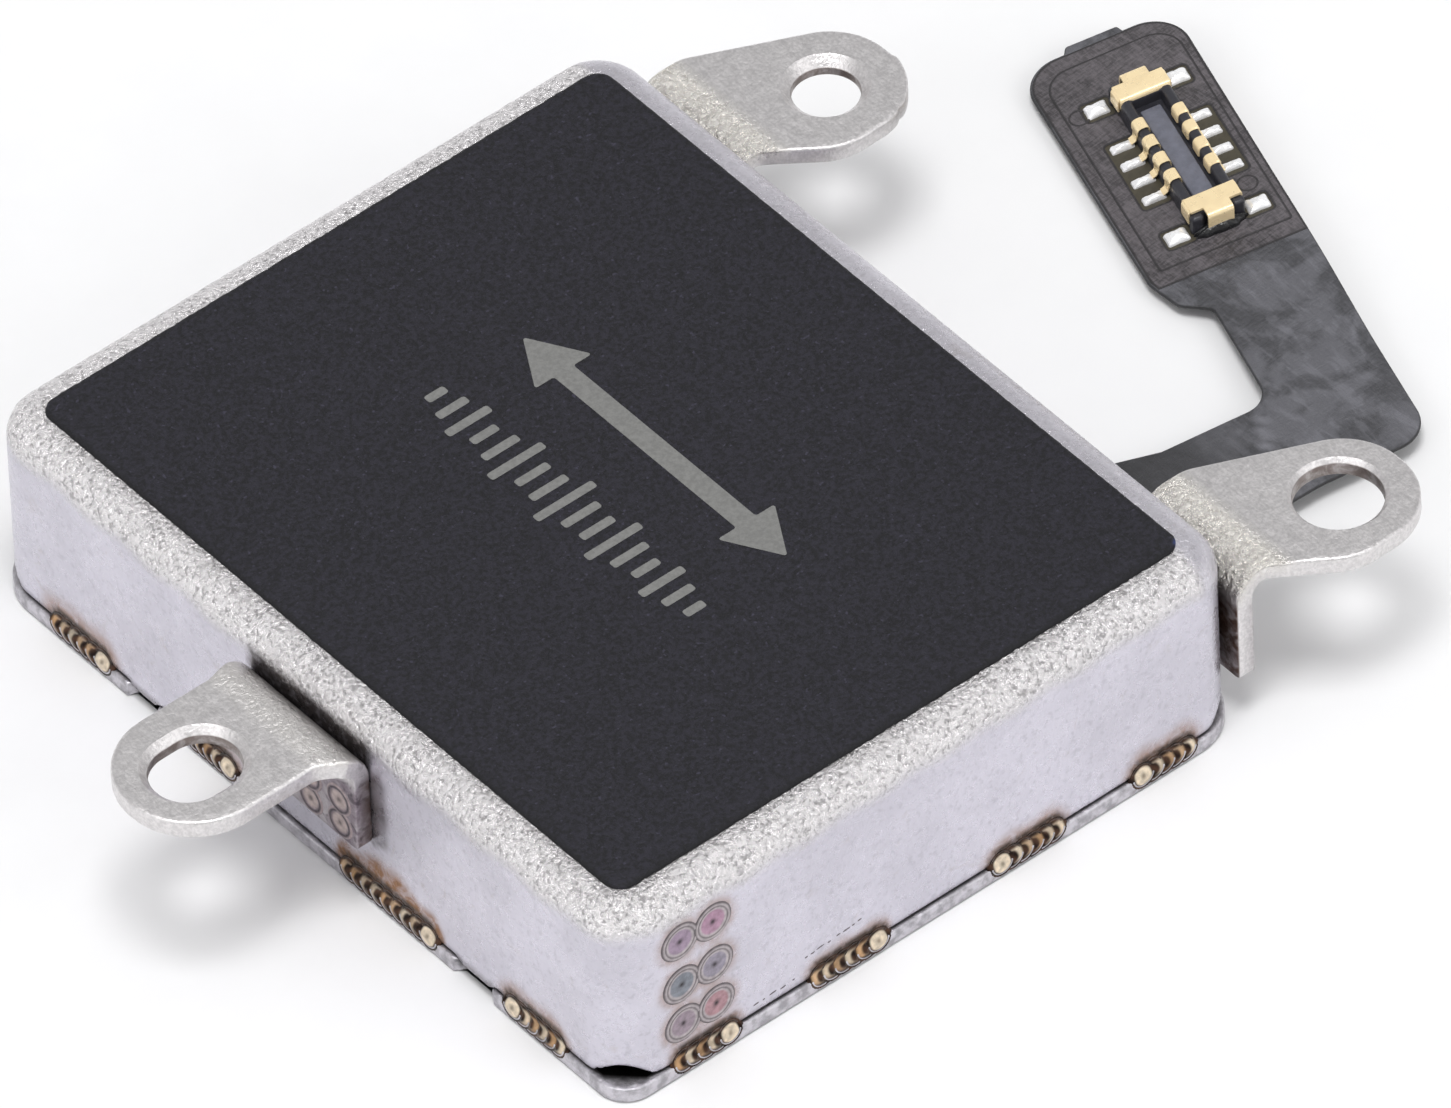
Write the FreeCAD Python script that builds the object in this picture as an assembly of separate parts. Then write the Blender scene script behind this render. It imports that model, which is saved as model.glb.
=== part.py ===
import FreeCAD, Part
import math
import os

# Linear resonant actuator: a sprung magnet mass that slides along Y inside a welded steel can.
# Millimetres. +X towards the side with two mounting tabs and the flex tail, +Z up.
# The origin is the centre of the base plate's underside.

# ---- driving dimensions -------------------------------------------------------------------
CAN_X = 11.70            # outside of the can, side to side
CAN_Y = 14.34            # outside of the can, end to end
TOTAL_Z = 3.60           # underside of the plate to the top of the label
PLATE_T = 0.25           # base plate thickness
PLATE_LIP = 0.05         # how far the plate stands out past the can
WALL_T = 0.25            # can wall
LABEL_T = 0.06
CAN_CORNER_R = 0.85      # vertical corners of the can
CAN_EDGE_R = 0.50        # rolled edge round the can's top
TAB_T = 0.30             # sheet of the three mounting tabs
TAB_BEND_R = 0.55        # outside radius of their bends
TRAVEL = 0.60            # the mass slides this far each way
SPRING_T = 0.15          # leaf spring sheet
FLEX_T = 0.10            # flexible circuit
CONTACT_PITCH = 0.39
CONTACTS_A_SIDE = 4

half_x = CAN_X / 2
half_y = CAN_Y / 2
can_top = TOTAL_Z - LABEL_T
inner_x = half_x - WALL_T
inner_y = half_y - WALL_T
inner_top = can_top - WALL_T
flex_top = PLATE_T + FLEX_T
V = FreeCAD.Vector
UP = V(0, 0, 1)

os.makedirs("parts", exist_ok=True)


def save(name, shape):
    """Write one node, after checking that its solids are sound."""
    if not shape.isValid() or shape.Volume <= 0:
        raise ValueError("bad solid: " + name)
    shape.exportStep("parts/" + name + ".step")


def block(x0, x1, y0, y1, z0, z1):
    """Box between two corners."""
    return Part.makeBox(x1 - x0, y1 - y0, z1 - z0, V(x0, y0, z0))


def upright_edges(shape):
    """Straight edges that run along Z."""
    found = []
    for edge in shape.Edges:
        a, b = edge.Vertexes[0].Point, edge.Vertexes[-1].Point
        if abs(a.x - b.x) < 1e-6 and abs(a.y - b.y) < 1e-6 and abs(a.z - b.z) > 1e-3:
            found.append(edge)
    return found


def slab(hx, hy, z0, z1, radius):
    """Centred slab with rounded upright corners."""
    body = block(-hx, hx, -hy, hy, z0, z1)
    return body.makeFillet(radius, upright_edges(body))


def outline(points, z0, z1):
    """Prism over a closed outline; a point given as (x, y, radius) is rounded."""
    corners = [V(p[0], p[1], z0) for p in points]
    edges = []
    ends = []
    n = len(points)
    for i in range(n):
        here = corners[i]
        radius = points[i][2] if len(points[i]) > 2 else 0
        if not radius:
            ends.append((here, here))
            continue
        back = (corners[i - 1] - here).normalize()
        ahead = (corners[(i + 1) % n] - here).normalize()
        half = back.getAngle(ahead) / 2
        reach = radius / math.tan(half)
        middle = here + (back + ahead).normalize() * (radius / math.sin(half) - radius)
        a, b = here + back * reach, here + ahead * reach
        edges.append(Part.Arc(a, middle, b).toShape())
        ends.append((a, b))
    for i in range(n):
        a, b = ends[i][1], ends[(i + 1) % n][0]
        if a.distanceToPoint(b) > 1e-6:
            edges.append(Part.LineSegment(a, b).toShape())
    wire = Part.Wire(Part.__sortEdges__(edges))
    return Part.Face(wire).extrude(V(0, 0, z1 - z0))


def stadium(cx, cy, length, width, z0, z1):
    """Upright slot shape with round ends, its length along X, or a plain round one."""
    r = width / 2
    reach = length / 2 - r
    if reach <= 0:
        return Part.makeCylinder(r, z1 - z0, V(cx, cy, z0))
    body = block(cx - reach, cx + reach, cy - r, cy + r, z0, z1)
    for side in (-1, 1):
        body = body.fuse(Part.makeCylinder(r, z1 - z0, V(cx + side * reach, cy, z0)))
    return body.removeSplitter()


def half_turn(shape):
    """The same piece turned 180 degrees about the can's middle."""
    turned = shape.copy()
    turned.rotate(V(0, 0, 0), UP, 180)
    return turned


# ---- can and base plate -------------------------------------------------------------------
FLEX_EXIT = (-4.45, -1.30)      # along Y, where the flex leaves through the +X wall
FLEX_EXIT_H = 0.16
RELIEF_H = 0.18                 # the can's lower corners are cut up by this
RELIEF_IN = 0.60                # and start this far in from each side
PLATE_CORNERS = (0.50, 0.92)    # radii of the corners, alternately
NOTCH_IN = 0.23                 # depth of the plate's edge notches
LEFT_NOTCHES = ((3.35, 3.95), (-4.25, -3.50))


def can_cover():
    """Drawn can: closed top, open underneath, with a rolled top edge."""
    outer = slab(half_x, half_y, PLATE_T, can_top, CAN_CORNER_R)
    rim = [e for e in outer.Edges if all(abs(v.Z - can_top) < 1e-6 for v in e.Vertexes)]
    outer = outer.makeFillet(CAN_EDGE_R, rim)
    inner = slab(inner_x, inner_y, PLATE_T - 1, inner_top, CAN_CORNER_R - WALL_T)
    can = outer.cut(inner)
    for sx in (-1, 1):
        for sy in (-1, 1):
            cx, cy = sx * (half_x - RELIEF_IN / 2), sy * (half_y - RELIEF_IN / 2)
            can = can.cut(block(cx - RELIEF_IN / 2, cx + RELIEF_IN / 2, cy - RELIEF_IN / 2,
                                cy + RELIEF_IN / 2, PLATE_T, PLATE_T + RELIEF_H))
    return can.cut(block(inner_x - 0.1, half_x + 0.1, FLEX_EXIT[0], FLEX_EXIT[1],
                         PLATE_T, PLATE_T + FLEX_EXIT_H))


def base_plate():
    """Flat plate with shallow notches between the tongues of its left edge."""
    px, py = half_x + PLATE_LIP, half_y + PLATE_LIP
    small, large = PLATE_CORNERS
    plate = outline([(-px, -py, small), (px, -py, large), (px, py, small), (-px, py, large)], 0, PLATE_T)
    edge = -half_x - PLATE_LIP
    for y0, y1 in LEFT_NOTCHES:
        plate = plate.cut(block(edge - 1, edge + NOTCH_IN, y0, y1, -1, PLATE_T + 1))
        plate = plate.cut(half_turn(block(edge - 1, edge + NOTCH_IN, y0, y1, -1, PLATE_T + 1)))
    return plate


LABEL_X, LABEL_Y, LABEL_R = 10.60, 13.17, 0.30
save("base_plate", base_plate())
save("can_cover", can_cover())
save("cover_label", slab(LABEL_X / 2, LABEL_Y / 2, can_top, TOTAL_Z, LABEL_R))

# ---- seam welds: rows of overlapping spots along the foot of the can ------------------------
SPOT_R = 0.20
SPOT_T = 0.02
SPOT_STEP = 0.22
SPOT_Z = 0.24
# (middle of the row, spots) along X for the two ends, along Y for the two sides
END_ROWS = ((-4.20, 5), (-1.60, 6), (1.62, 6), (4.20, 5))
SIDE_ROWS = ((5.05, 5), (2.00, 4), (-1.96, 9), (-5.10, 6))


def seam_welds():
    """Thin round nuggets on the plate's edge, in rows on all four sides."""
    spots = []
    for sign in (-1, 1):
        for middle, count in END_ROWS:
            for i in range(count):
                x = sign * -(middle + (i - (count - 1) / 2) * SPOT_STEP)
                y = sign * (half_y + PLATE_LIP)
                spots.append(Part.makeCylinder(SPOT_R, SPOT_T, V(x, y, SPOT_Z), V(0, sign, 0)))
        for middle, count in SIDE_ROWS:
            for i in range(count):
                x = sign * (half_x + PLATE_LIP)
                y = sign * -(middle + (i - (count - 1) / 2) * SPOT_STEP)
                if sign > 0 and FLEX_EXIT[0] - SPOT_R < y < FLEX_EXIT[1] + SPOT_R:
                    continue
                spots.append(Part.makeCylinder(SPOT_R, SPOT_T, V(x, y, SPOT_Z), V(sign, 0, 0)))
    joined = spots[0].multiFuse(spots[1:])
    return Part.makeCompound(joined.Solids)


save("seam_welds", seam_welds())

# ---- mounting tabs: folded sheet, the leg welded to a side wall -----------------------------
TAB_END_R = 1.20                # round end of the left tab
EYE_R = 1.15                    # round ends of the two right tabs
CHAMFER = 0.11


def bent_sheet(z_top, leg_foot, reach, v0, v1):
    """L-shaped sheet standing on the wall at u = 0, with the flange pointing out along +X."""
    r_in = TAB_BEND_R - TAB_T
    centre = V(TAB_BEND_R, v0, z_top - TAB_BEND_R)
    c45 = math.cos(math.pi / 4)
    corner = (
        V(0, v0, leg_foot), V(0, v0, centre.z), V(TAB_BEND_R, v0, z_top), V(reach, v0, z_top),
        V(reach, v0, z_top - TAB_T), V(TAB_BEND_R, v0, z_top - TAB_T), V(TAB_T, v0, centre.z),
        V(TAB_T, v0, leg_foot))
    outer_mid = centre + V(-c45 * TAB_BEND_R, 0, c45 * TAB_BEND_R)
    inner_mid = centre + V(-c45 * r_in, 0, c45 * r_in)
    edges = [
        Part.LineSegment(corner[0], corner[1]).toShape(),
        Part.Arc(corner[1], outer_mid, corner[2]).toShape(),
        Part.LineSegment(corner[2], corner[3]).toShape(),
        Part.LineSegment(corner[3], corner[4]).toShape(),
        Part.LineSegment(corner[4], corner[5]).toShape(),
        Part.Arc(corner[5], inner_mid, corner[6]).toShape(),
        Part.LineSegment(corner[6], corner[7]).toShape(),
        Part.LineSegment(corner[7], corner[0]).toShape()]
    return Part.Face(Part.Wire(edges)).extrude(V(0, v1 - v0, 0))


def mounting_tab(z_top, leg_foot, plan, hole_u, hole_v, slot, width):
    """Bent sheet trimmed to its plan outline, with a chamfered round or slotted hole."""
    reach = hole_u + TAB_END_R + 1
    v_all = [p[1] for p in plan]
    sheet = bent_sheet(z_top, leg_foot, reach, min(v_all) - 1, max(v_all) + 1)
    tab = sheet.common(outline(plan, leg_foot - 1, z_top + 1))
    tab = tab.cut(stadium(hole_u, hole_v, width + slot, width, z_top - 1, z_top + 1))
    for k in range(-1, 2, 2) if slot else (0,):
        cone = Part.makeCone(width / 2, width / 2 + CHAMFER * 2, CHAMFER * 2,
                             V(hole_u + k * slot / 2, hole_v, z_top - CHAMFER))
        tab = tab.cut(cone)
    if slot:
        w = width / 2
        ridge = [V(hole_u - slot / 2, hole_v - w, z_top - CHAMFER),
                 V(hole_u - slot / 2, hole_v + w, z_top - CHAMFER),
                 V(hole_u - slot / 2, hole_v + w + CHAMFER * 2, z_top + CHAMFER),
                 V(hole_u - slot / 2, hole_v - w - CHAMFER * 2, z_top + CHAMFER)]
        tab = tab.cut(Part.Face(Part.makePolygon(ridge + ridge[:1])).extrude(V(slot, 0, 0)))
    return tab


def right_side_plan(hole_u, hole_v):
    """Outline shared by the two tabs of the right side: a swept arm to a round eye."""
    r = EYE_R
    return [(-0.1, hole_v - 0.39), (0.50, hole_v - 0.39, 0.5), (hole_u - 0.62, hole_v - r - 0.04, 1.0),
            (hole_u + r, hole_v - r, r * 0.94), (hole_u + r, hole_v + 0.72, r * 0.94),
            (0.92, hole_v + 1.86, 0.6), (-0.1, hole_v + 1.86)]


def left_side_plan(hole_u, hole_v):
    """Outline of the left tab: flared root, parallel sides and a round end."""
    r = TAB_END_R
    return [(-0.1, hole_v - 1.42), (0.42, hole_v - 1.42, 0.12), (0.80, hole_v - r, 0.4),
            (hole_u + r, hole_v - r, r * 0.98), (hole_u + r, hole_v + r, r * 0.98),
            (0.80, hole_v + r, 0.4), (0.42, hole_v + 1.50, 0.12), (-0.1, hole_v + 1.50)]


STUB_R, STUB_FROM, STUB_TO = 1.20, -60, -6    # sheared stub on the back tab's rim, in degrees


def sheared_stub(z_top, hole_u, hole_v):
    """Low remnant of the strip that held the blank, along part of the eye's rim."""
    steps = [math.radians(STUB_FROM + (STUB_TO - STUB_FROM) * i / 8) for i in range(9)]
    rim = [(hole_u + STUB_R * math.cos(t), hole_v + STUB_R * math.sin(t)) for t in steps]
    inner_r = EYE_R - 0.15
    back = [(hole_u + inner_r * math.cos(t), hole_v + inner_r * math.sin(t)) for t in reversed(steps)]
    return outline(rim + back, z_top - TAB_T, z_top)


LEFT_TAB = {"z_top": 3.15, "leg_foot": 1.16, "hole_u": 2.04, "hole_v": -0.21}
RIGHT_TAB = {"z_top": 2.79, "leg_foot": 0.75, "hole_u": 2.26, "hole_v": -6.66}
BACK_TAB = {"z_top": 2.79, "leg_foot": 0.75, "hole_u": 2.15, "hole_v": 4.72}
SLOT_STRETCH = 0.24
LEFT_SLOT_W, RIGHT_HOLE_D, BACK_HOLE_D = 1.19, 1.35, 1.05

# the left tab is drawn pointing along +X, so its plan is mirrored before it is turned round
left = mounting_tab(plan=left_side_plan(LEFT_TAB["hole_u"], -LEFT_TAB["hole_v"]), slot=SLOT_STRETCH,
                    width=LEFT_SLOT_W, **{**LEFT_TAB, "hole_v": -LEFT_TAB["hole_v"]})
left = half_turn(left)
left.translate(V(-half_x, 0, 0))
save("left_tab", left)
for name, tab, hole in (("right_tab", RIGHT_TAB, RIGHT_HOLE_D), ("back_tab", BACK_TAB, BACK_HOLE_D)):
    shape = mounting_tab(plan=right_side_plan(tab["hole_u"], tab["hole_v"]), slot=0, width=hole, **tab)
    if name == "back_tab":
        stub = sheared_stub(tab["z_top"], tab["hole_u"], tab["hole_v"])
        shape = shape.fuse(stub).removeSplitter()
    shape.translate(V(half_x, 0, 0))
    save(name, shape)

# ---- coils, sensor and the flexible circuit inside the can ----------------------------------
COIL_LEN, COIL_W, COIL_HOLE_W, COIL_H = 8.60, 3.20, 1.00, 0.45
COIL_Y = 1.85
coil_top = flex_top + COIL_H
FILM_T = 0.05
SENSOR_X, SENSOR_Y, SENSOR_H = 0.90, 0.66, 0.35
PAD_LINE_X, PAD_ROW = 4.95, (-3.00, -0.90, 0.90, 3.00)
FOLD_X = 8.30                   # the tail folds here, outside the can


def racetrack_coil(cy):
    """Flat self-supporting winding with round ends."""
    outer = stadium(0, cy, COIL_LEN, COIL_W, flex_top, coil_top)
    hole_len = COIL_LEN - COIL_W + COIL_HOLE_W
    return outer.cut(stadium(0, cy, hole_len, COIL_HOLE_W, flex_top - 1, coil_top + 1))


save("coil_front", racetrack_coil(-COIL_Y))
save("coil_rear", racetrack_coil(COIL_Y))
save("coil_film", slab(4.60, 3.60, coil_top, coil_top + FILM_T, 0.3))
sensor = slab(SENSOR_X / 2, SENSOR_Y / 2, flex_top, flex_top + SENSOR_H, 0.05)
sensor.translate(V(0, -COIL_Y, 0))
save("position_sensor", sensor)


def coil_solder():
    """Solder pads where the winding ends meet the flexible circuit."""
    pads = []
    for y in PAD_ROW:
        pad = slab(0.22, 0.16, flex_top, flex_top + 0.07, 0.05)
        pad.translate(V(PAD_LINE_X, y, 0))
        pads.append(pad)
    return Part.makeCompound(pads)


save("coil_solder", coil_solder())

inside_sheet = [(-4.70, -3.80, 0.4), (5.30, -3.80), (5.30, FLEX_EXIT[0] + 0.05), (FOLD_X, -4.42),
                (FOLD_X, -2.40), (7.40, -2.02, 2.0), (inner_x, -1.42), (5.30, -1.42),
                (5.30, 3.80, 0.4), (-4.70, 3.80, 0.4)]
save("flex_base", outline(inside_sheet, PLATE_T, flex_top))

# ---- flex tail and its board connector, outside the can -------------------------------------
TAIL_TURN = 16.7                # degrees from +Y towards +X
PAD_AREA_AT = V(12.29, 1.97, 0)         # middle of the tail's wide end
CONNECTOR_OFF = V(0.09, 0.15, 0)        # the connector's middle, across and along the tail
TAIL_GAP = 0.01                 # between the two halves of the flex, at the fold
STIFFENER_T = 0.08
tail_sheet = [(FOLD_X + TAIL_GAP, -4.42), (9.60, -4.46, 2.0), (11.50, -4.72, 0.62), (14.36, 4.46, 0.62),
              (11.91, 5.16, 0.62), (10.50, 0.47, 0.45), (10.52, -0.18, 0.25), (10.83, -0.60, 0.20),
              (10.15, -2.66, 0.45), (FOLD_X + TAIL_GAP, -2.40)]
save("flex_tail", outline(tail_sheet, PLATE_T, flex_top))


def on_tail(shape):
    """Move a piece from the tail's own frame, its length along Y, to its place."""
    shape.rotate(V(0, 0, 0), UP, -TAIL_TURN)
    shape.translate(PAD_AREA_AT)
    return shape


def on_board(shape):
    """The same for a piece drawn about the connector's middle."""
    shape.translate(CONNECTOR_OFF)
    return on_tail(shape)


save("flex_stiffener", on_tail(slab(1.10, 2.10, PLATE_T - STIFFENER_T, PLATE_T, 0.45)))

BODY_HALF_W, BODY_HALF_L, BODY_H = 0.40, 1.56, 0.32
TROUGH_HALF_W, TROUGH_HALF_L, FLOOR_H = 0.235, 1.10, 0.10
CAP_HALF_W, CAP_Y0, CAP_Y1, CAP_T = 0.42, 1.17, 1.45, 0.04
CAP_TAB_HALF_W, CAP_TAB_Y = 0.20, 1.66
STRAP_HALF_L = 0.115
STRAP_IN = 0.243                # where a strap starts, from the connector's middle
PAD_HALF_W, PAD_HALF_L, PAD_H, PAD_AT = 0.185, 0.085, 0.09, 0.625
HOLD_AT, HOLD_HALF_W, HOLD_HALF_L = (0.66, 1.47), 0.165, 0.15
STRAP_T = 0.03
body_top = flex_top + BODY_H


def contact_rows():
    """Places of the contacts along the connector."""
    return [(i - (CONTACTS_A_SIDE - 1) / 2) * CONTACT_PITCH for i in range(CONTACTS_A_SIDE)]


def end_cap(sign):
    """T-shaped metal cap over one end of the connector, folded down outside it."""
    y0, y1 = sorted((sign * CAP_Y0, sign * CAP_Y1))
    bar = block(-CAP_HALF_W, CAP_HALF_W, y0, y1, body_top, body_top + CAP_T)
    t0, t1 = sorted((sign * CAP_Y1, sign * CAP_TAB_Y))
    tongue = block(-CAP_TAB_HALF_W, CAP_TAB_HALF_W, t0, t1, body_top, body_top + CAP_T)
    f0, f1 = sorted((sign * (CAP_TAB_Y - CAP_T), sign * CAP_TAB_Y))
    foot = block(-CAP_TAB_HALF_W, CAP_TAB_HALF_W, f0, f1, flex_top, body_top)
    return bar.fuse([tongue, foot]).removeSplitter()


def contact(side, y):
    """Contact strap: over the rail's top and down its outer face to the solder foot."""
    y0, y1 = y - STRAP_HALF_L, y + STRAP_HALF_L
    x_out = BODY_HALF_W + STRAP_T
    top = block(STRAP_IN, x_out, y0, y1, body_top, body_top + STRAP_T)
    drop = block(BODY_HALF_W, x_out, y0, y1, flex_top, body_top)
    strap = top.fuse(drop).removeSplitter()
    return strap if side > 0 else strap.mirror(V(0, 0, 0), V(1, 0, 0))


housing = slab(BODY_HALF_W, BODY_HALF_L, flex_top, body_top, 0.06)
trough = block(-TROUGH_HALF_W, TROUGH_HALF_W, -TROUGH_HALF_L, TROUGH_HALF_L,
               flex_top + FLOOR_H, body_top + 1)
save("connector_housing", on_board(housing.cut(trough)))
save("connector_end_caps", Part.makeCompound([on_board(end_cap(s)) for s in (-1, 1)]))
straps = [on_board(contact(side, y)) for side in (-1, 1) for y in contact_rows()]
save("connector_contacts", Part.makeCompound(straps))
joints = []
for side in (-1, 1):
    for y in contact_rows():
        foot = slab(PAD_HALF_W, PAD_HALF_L, flex_top, flex_top + PAD_H, 0.04)
        foot.translate(V(side * PAD_AT, y, 0))
        joints.append(on_board(foot))
    for end in (-1, 1):
        pad = slab(HOLD_HALF_W, HOLD_HALF_L, flex_top, flex_top + PAD_H, 0.05)
        pad.translate(V(side * HOLD_AT[0], end * HOLD_AT[1], 0))
        joints.append(on_board(pad))
save("connector_solder", Part.makeCompound(joints))

# ---- moving mass ------------------------------------------------------------------------------
MASS_X, MASS_Y = 5.15, 4.95     # half sizes
MASS_Z0, MASS_Z1 = 1.00, 2.95
POCKET_X, POCKET_Y = 4.25, 3.70
GLUE = 0.03
YOKE_T = 0.45
MAGNET_W = (2.30, 2.50, 2.30)

frame = slab(MASS_X, MASS_Y, MASS_Z0, MASS_Z1, 0.4)
pocket = block(-POCKET_X, POCKET_X, -POCKET_Y, POCKET_Y, MASS_Z0 - 1, MASS_Z1 + 1)
save("mass_frame", frame.cut(pocket))
yoke_z = MASS_Z1 - YOKE_T
save("yoke_plate", block(-POCKET_X + GLUE, POCKET_X - GLUE, -POCKET_Y + GLUE, POCKET_Y - GLUE,
                         yoke_z, MASS_Z1))
span = 2 * (POCKET_Y - GLUE)
gap = (span - sum(MAGNET_W)) / 2
y_edge = -span / 2
for name, width in zip(("magnet_front", "magnet_centre", "magnet_rear"), MAGNET_W):
    save(name, block(-POCKET_X + GLUE, POCKET_X - GLUE, y_edge, y_edge + width, MASS_Z0, yoke_z))
    y_edge += width + gap

# ---- V-shaped leaf springs, clamps, bumpers and foam dampers ----------------------------------
PAD_X0, PAD_X1 = -5.20, -3.50   # where each spring leg lies flat, on the wall and on the mass
SPRING_Z0, SPRING_Z1 = 0.70, 2.95
APEX_X = 4.30
APEX_R = 0.24                   # middle of the sheet round the fold
APEX_Y = -5.98
CLAMP_T = 0.15
BUMPER_GAP = TRAVEL + 0.05      # the mass stops short of the bumpers
BUMPER_X0, BUMPER_ROOT, BUMPER_Z1 = 4.75, 0.35, 2.90


def leaf_spring():
    """One V spring at the -Y end: wall leg, fold at the +X end, leg on the mass."""
    wall_y = -inner_y + SPRING_T / 2
    mass_y = -MASS_Y - SPRING_T / 2
    path = [V(PAD_X0, wall_y, SPRING_Z0), V(PAD_X1, wall_y, SPRING_Z0),
            V(APEX_X, APEX_Y - APEX_R, SPRING_Z0), V(APEX_X + APEX_R, APEX_Y, SPRING_Z0),
            V(APEX_X, APEX_Y + APEX_R, SPRING_Z0), V(PAD_X1, mass_y, SPRING_Z0),
            V(PAD_X0, mass_y, SPRING_Z0)]
    half = SPRING_T / 2
    solids = []
    for a, b in ((0, 1), (1, 2), (4, 5), (5, 6)):
        run = path[b] - path[a]
        side = V(-run.y, run.x, 0).normalize() * half
        ring = [path[a] + side, path[b] + side, path[b] - side, path[a] - side]
        leg = Part.Face(Part.makePolygon(ring + ring[:1]))
        solids.append(leg.extrude(V(0, 0, SPRING_Z1 - SPRING_Z0)))
    for i in (1, 5):
        solids.append(Part.makeCylinder(half, SPRING_Z1 - SPRING_Z0, path[i]))
    fold = Part.makeCylinder(APEX_R + half, SPRING_Z1 - SPRING_Z0, V(APEX_X, APEX_Y, SPRING_Z0))
    fold = fold.cut(Part.makeCylinder(APEX_R - half, 9, V(APEX_X, APEX_Y, 0)))
    solids.append(fold.common(block(APEX_X - 0.01, APEX_X + 1, -9, 9, 0, 9)))
    return solids[0].multiFuse(solids[1:]).removeSplitter()


spring = leaf_spring()
clamp = block(PAD_X0 + 0.1, PAD_X1 - 0.1, -MASS_Y - SPRING_T - CLAMP_T, -MASS_Y - SPRING_T,
              MASS_Z0 + 0.1, MASS_Z1 - 0.1)
bumper_root = block(BUMPER_X0, inner_x - 0.55, -inner_y, -inner_y + BUMPER_ROOT, MASS_Z0, BUMPER_Z1)
bumper_head = block(BUMPER_X0, inner_x - 0.10, -inner_y + BUMPER_ROOT, -MASS_Y - BUMPER_GAP,
                    MASS_Z0, BUMPER_Z1)
bumper = bumper_root.fuse(bumper_head).removeSplitter()
foam = block(PAD_X0 + 0.15, PAD_X1 - 0.15, -inner_y + SPRING_T, -MASS_Y - SPRING_T - CLAMP_T,
             MASS_Z0 + 0.1, MASS_Z1 - 0.1)
pairs = {"leaf_spring": spring, "spring_clamp": clamp, "bumper": bumper, "foam_damper": foam}
for name, shape in pairs.items():
    save(name + "_front", shape)
    save(name + "_rear", half_turn(shape))
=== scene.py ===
import math

import bpy
import numpy as np
from mathutils import Matrix, Vector
from mathutils.geometry import delaunay_2d_cdt


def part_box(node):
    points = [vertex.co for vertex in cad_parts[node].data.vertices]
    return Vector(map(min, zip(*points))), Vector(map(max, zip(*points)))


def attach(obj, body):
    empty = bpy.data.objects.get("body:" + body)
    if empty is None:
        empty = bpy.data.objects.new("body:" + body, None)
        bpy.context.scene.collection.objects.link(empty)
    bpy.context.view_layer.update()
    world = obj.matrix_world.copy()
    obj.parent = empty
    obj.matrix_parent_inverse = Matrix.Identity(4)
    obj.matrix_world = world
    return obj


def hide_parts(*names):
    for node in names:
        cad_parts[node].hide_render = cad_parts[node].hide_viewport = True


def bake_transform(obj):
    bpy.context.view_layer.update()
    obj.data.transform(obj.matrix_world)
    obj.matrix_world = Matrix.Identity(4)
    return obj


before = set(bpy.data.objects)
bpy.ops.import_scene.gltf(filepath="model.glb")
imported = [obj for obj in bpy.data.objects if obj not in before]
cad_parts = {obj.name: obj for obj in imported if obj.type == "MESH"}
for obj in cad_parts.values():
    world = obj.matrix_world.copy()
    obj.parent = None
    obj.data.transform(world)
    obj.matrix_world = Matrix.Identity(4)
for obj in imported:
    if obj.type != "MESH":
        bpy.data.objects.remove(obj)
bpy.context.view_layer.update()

# Looks of a linear resonant actuator. Shapes are worked out in millimetres, in the CAD frame,
# and scaled to metres as each mesh is made.
MM = 0.001


def cad(node):
    """Lowest and highest corner of a CAD node, in millimetres."""
    low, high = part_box(node)
    return np.array(low) / MM, np.array(high) / MM


HALF_X, HALF_Y, CAN_TOP = cad("can_cover")[1]
PLATE_X, PLATE_Y, PLATE_T = cad("base_plate")[1]
LABEL_X, LABEL_Y, LABEL_TOP = cad("cover_label")[1]
FLEX_Z0, FLEX_Z1 = (corner[2] for corner in cad("flex_tail"))
WALL_T, TAB_T = 0.25, 0.30
EDGE_R, CORNER_R = 0.50, 0.85          # the can's rolled top edge, and its upright corners
FLEX_EXIT = (-4.45, -1.30)             # along Y, where the flex leaves the can
NOTCHES = ((3.35, 3.95), (-4.25, -3.50))   # along the side walls, in the u of on_wall


def put(name, data):
    """New object in the scene for a mesh, lamp or camera."""
    made = bpy.data.objects.new(name, data)
    bpy.context.scene.collection.objects.link(made)
    return made


# ---- camera: the photograph's viewing angle ----
def camera():
    """Long lens from the front left, 45 degrees up, rolled a little."""
    azimuth, elevation, roll = math.radians(-37.97), math.radians(45.05), math.radians(-2.62)
    distance, aim_x, aim_y = 0.4804, 0.001566, 0.001387
    back = Vector((math.sin(azimuth) * math.cos(elevation), -math.cos(azimuth) * math.cos(elevation),
                   math.sin(elevation)))
    level_right = Vector((math.cos(azimuth), math.sin(azimuth), 0))
    level_up = back.cross(level_right)
    right = math.cos(roll) * level_right + math.sin(roll) * level_up
    up = math.cos(roll) * level_up - math.sin(roll) * level_right
    data = bpy.data.cameras.new("camera")
    data.sensor_width, data.lens = 36, 823.3
    data.clip_start, data.clip_end = 0.01, 20
    eye = put("camera", data)
    place = back * distance + right * aim_x + up * aim_y
    eye.matrix_world = Matrix.Translation(place) @ Matrix((right, up, back)).transposed().to_4x4()
    bpy.context.scene.camera = eye
    bpy.context.scene.view_settings.view_transform = "Standard"


camera()


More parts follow.
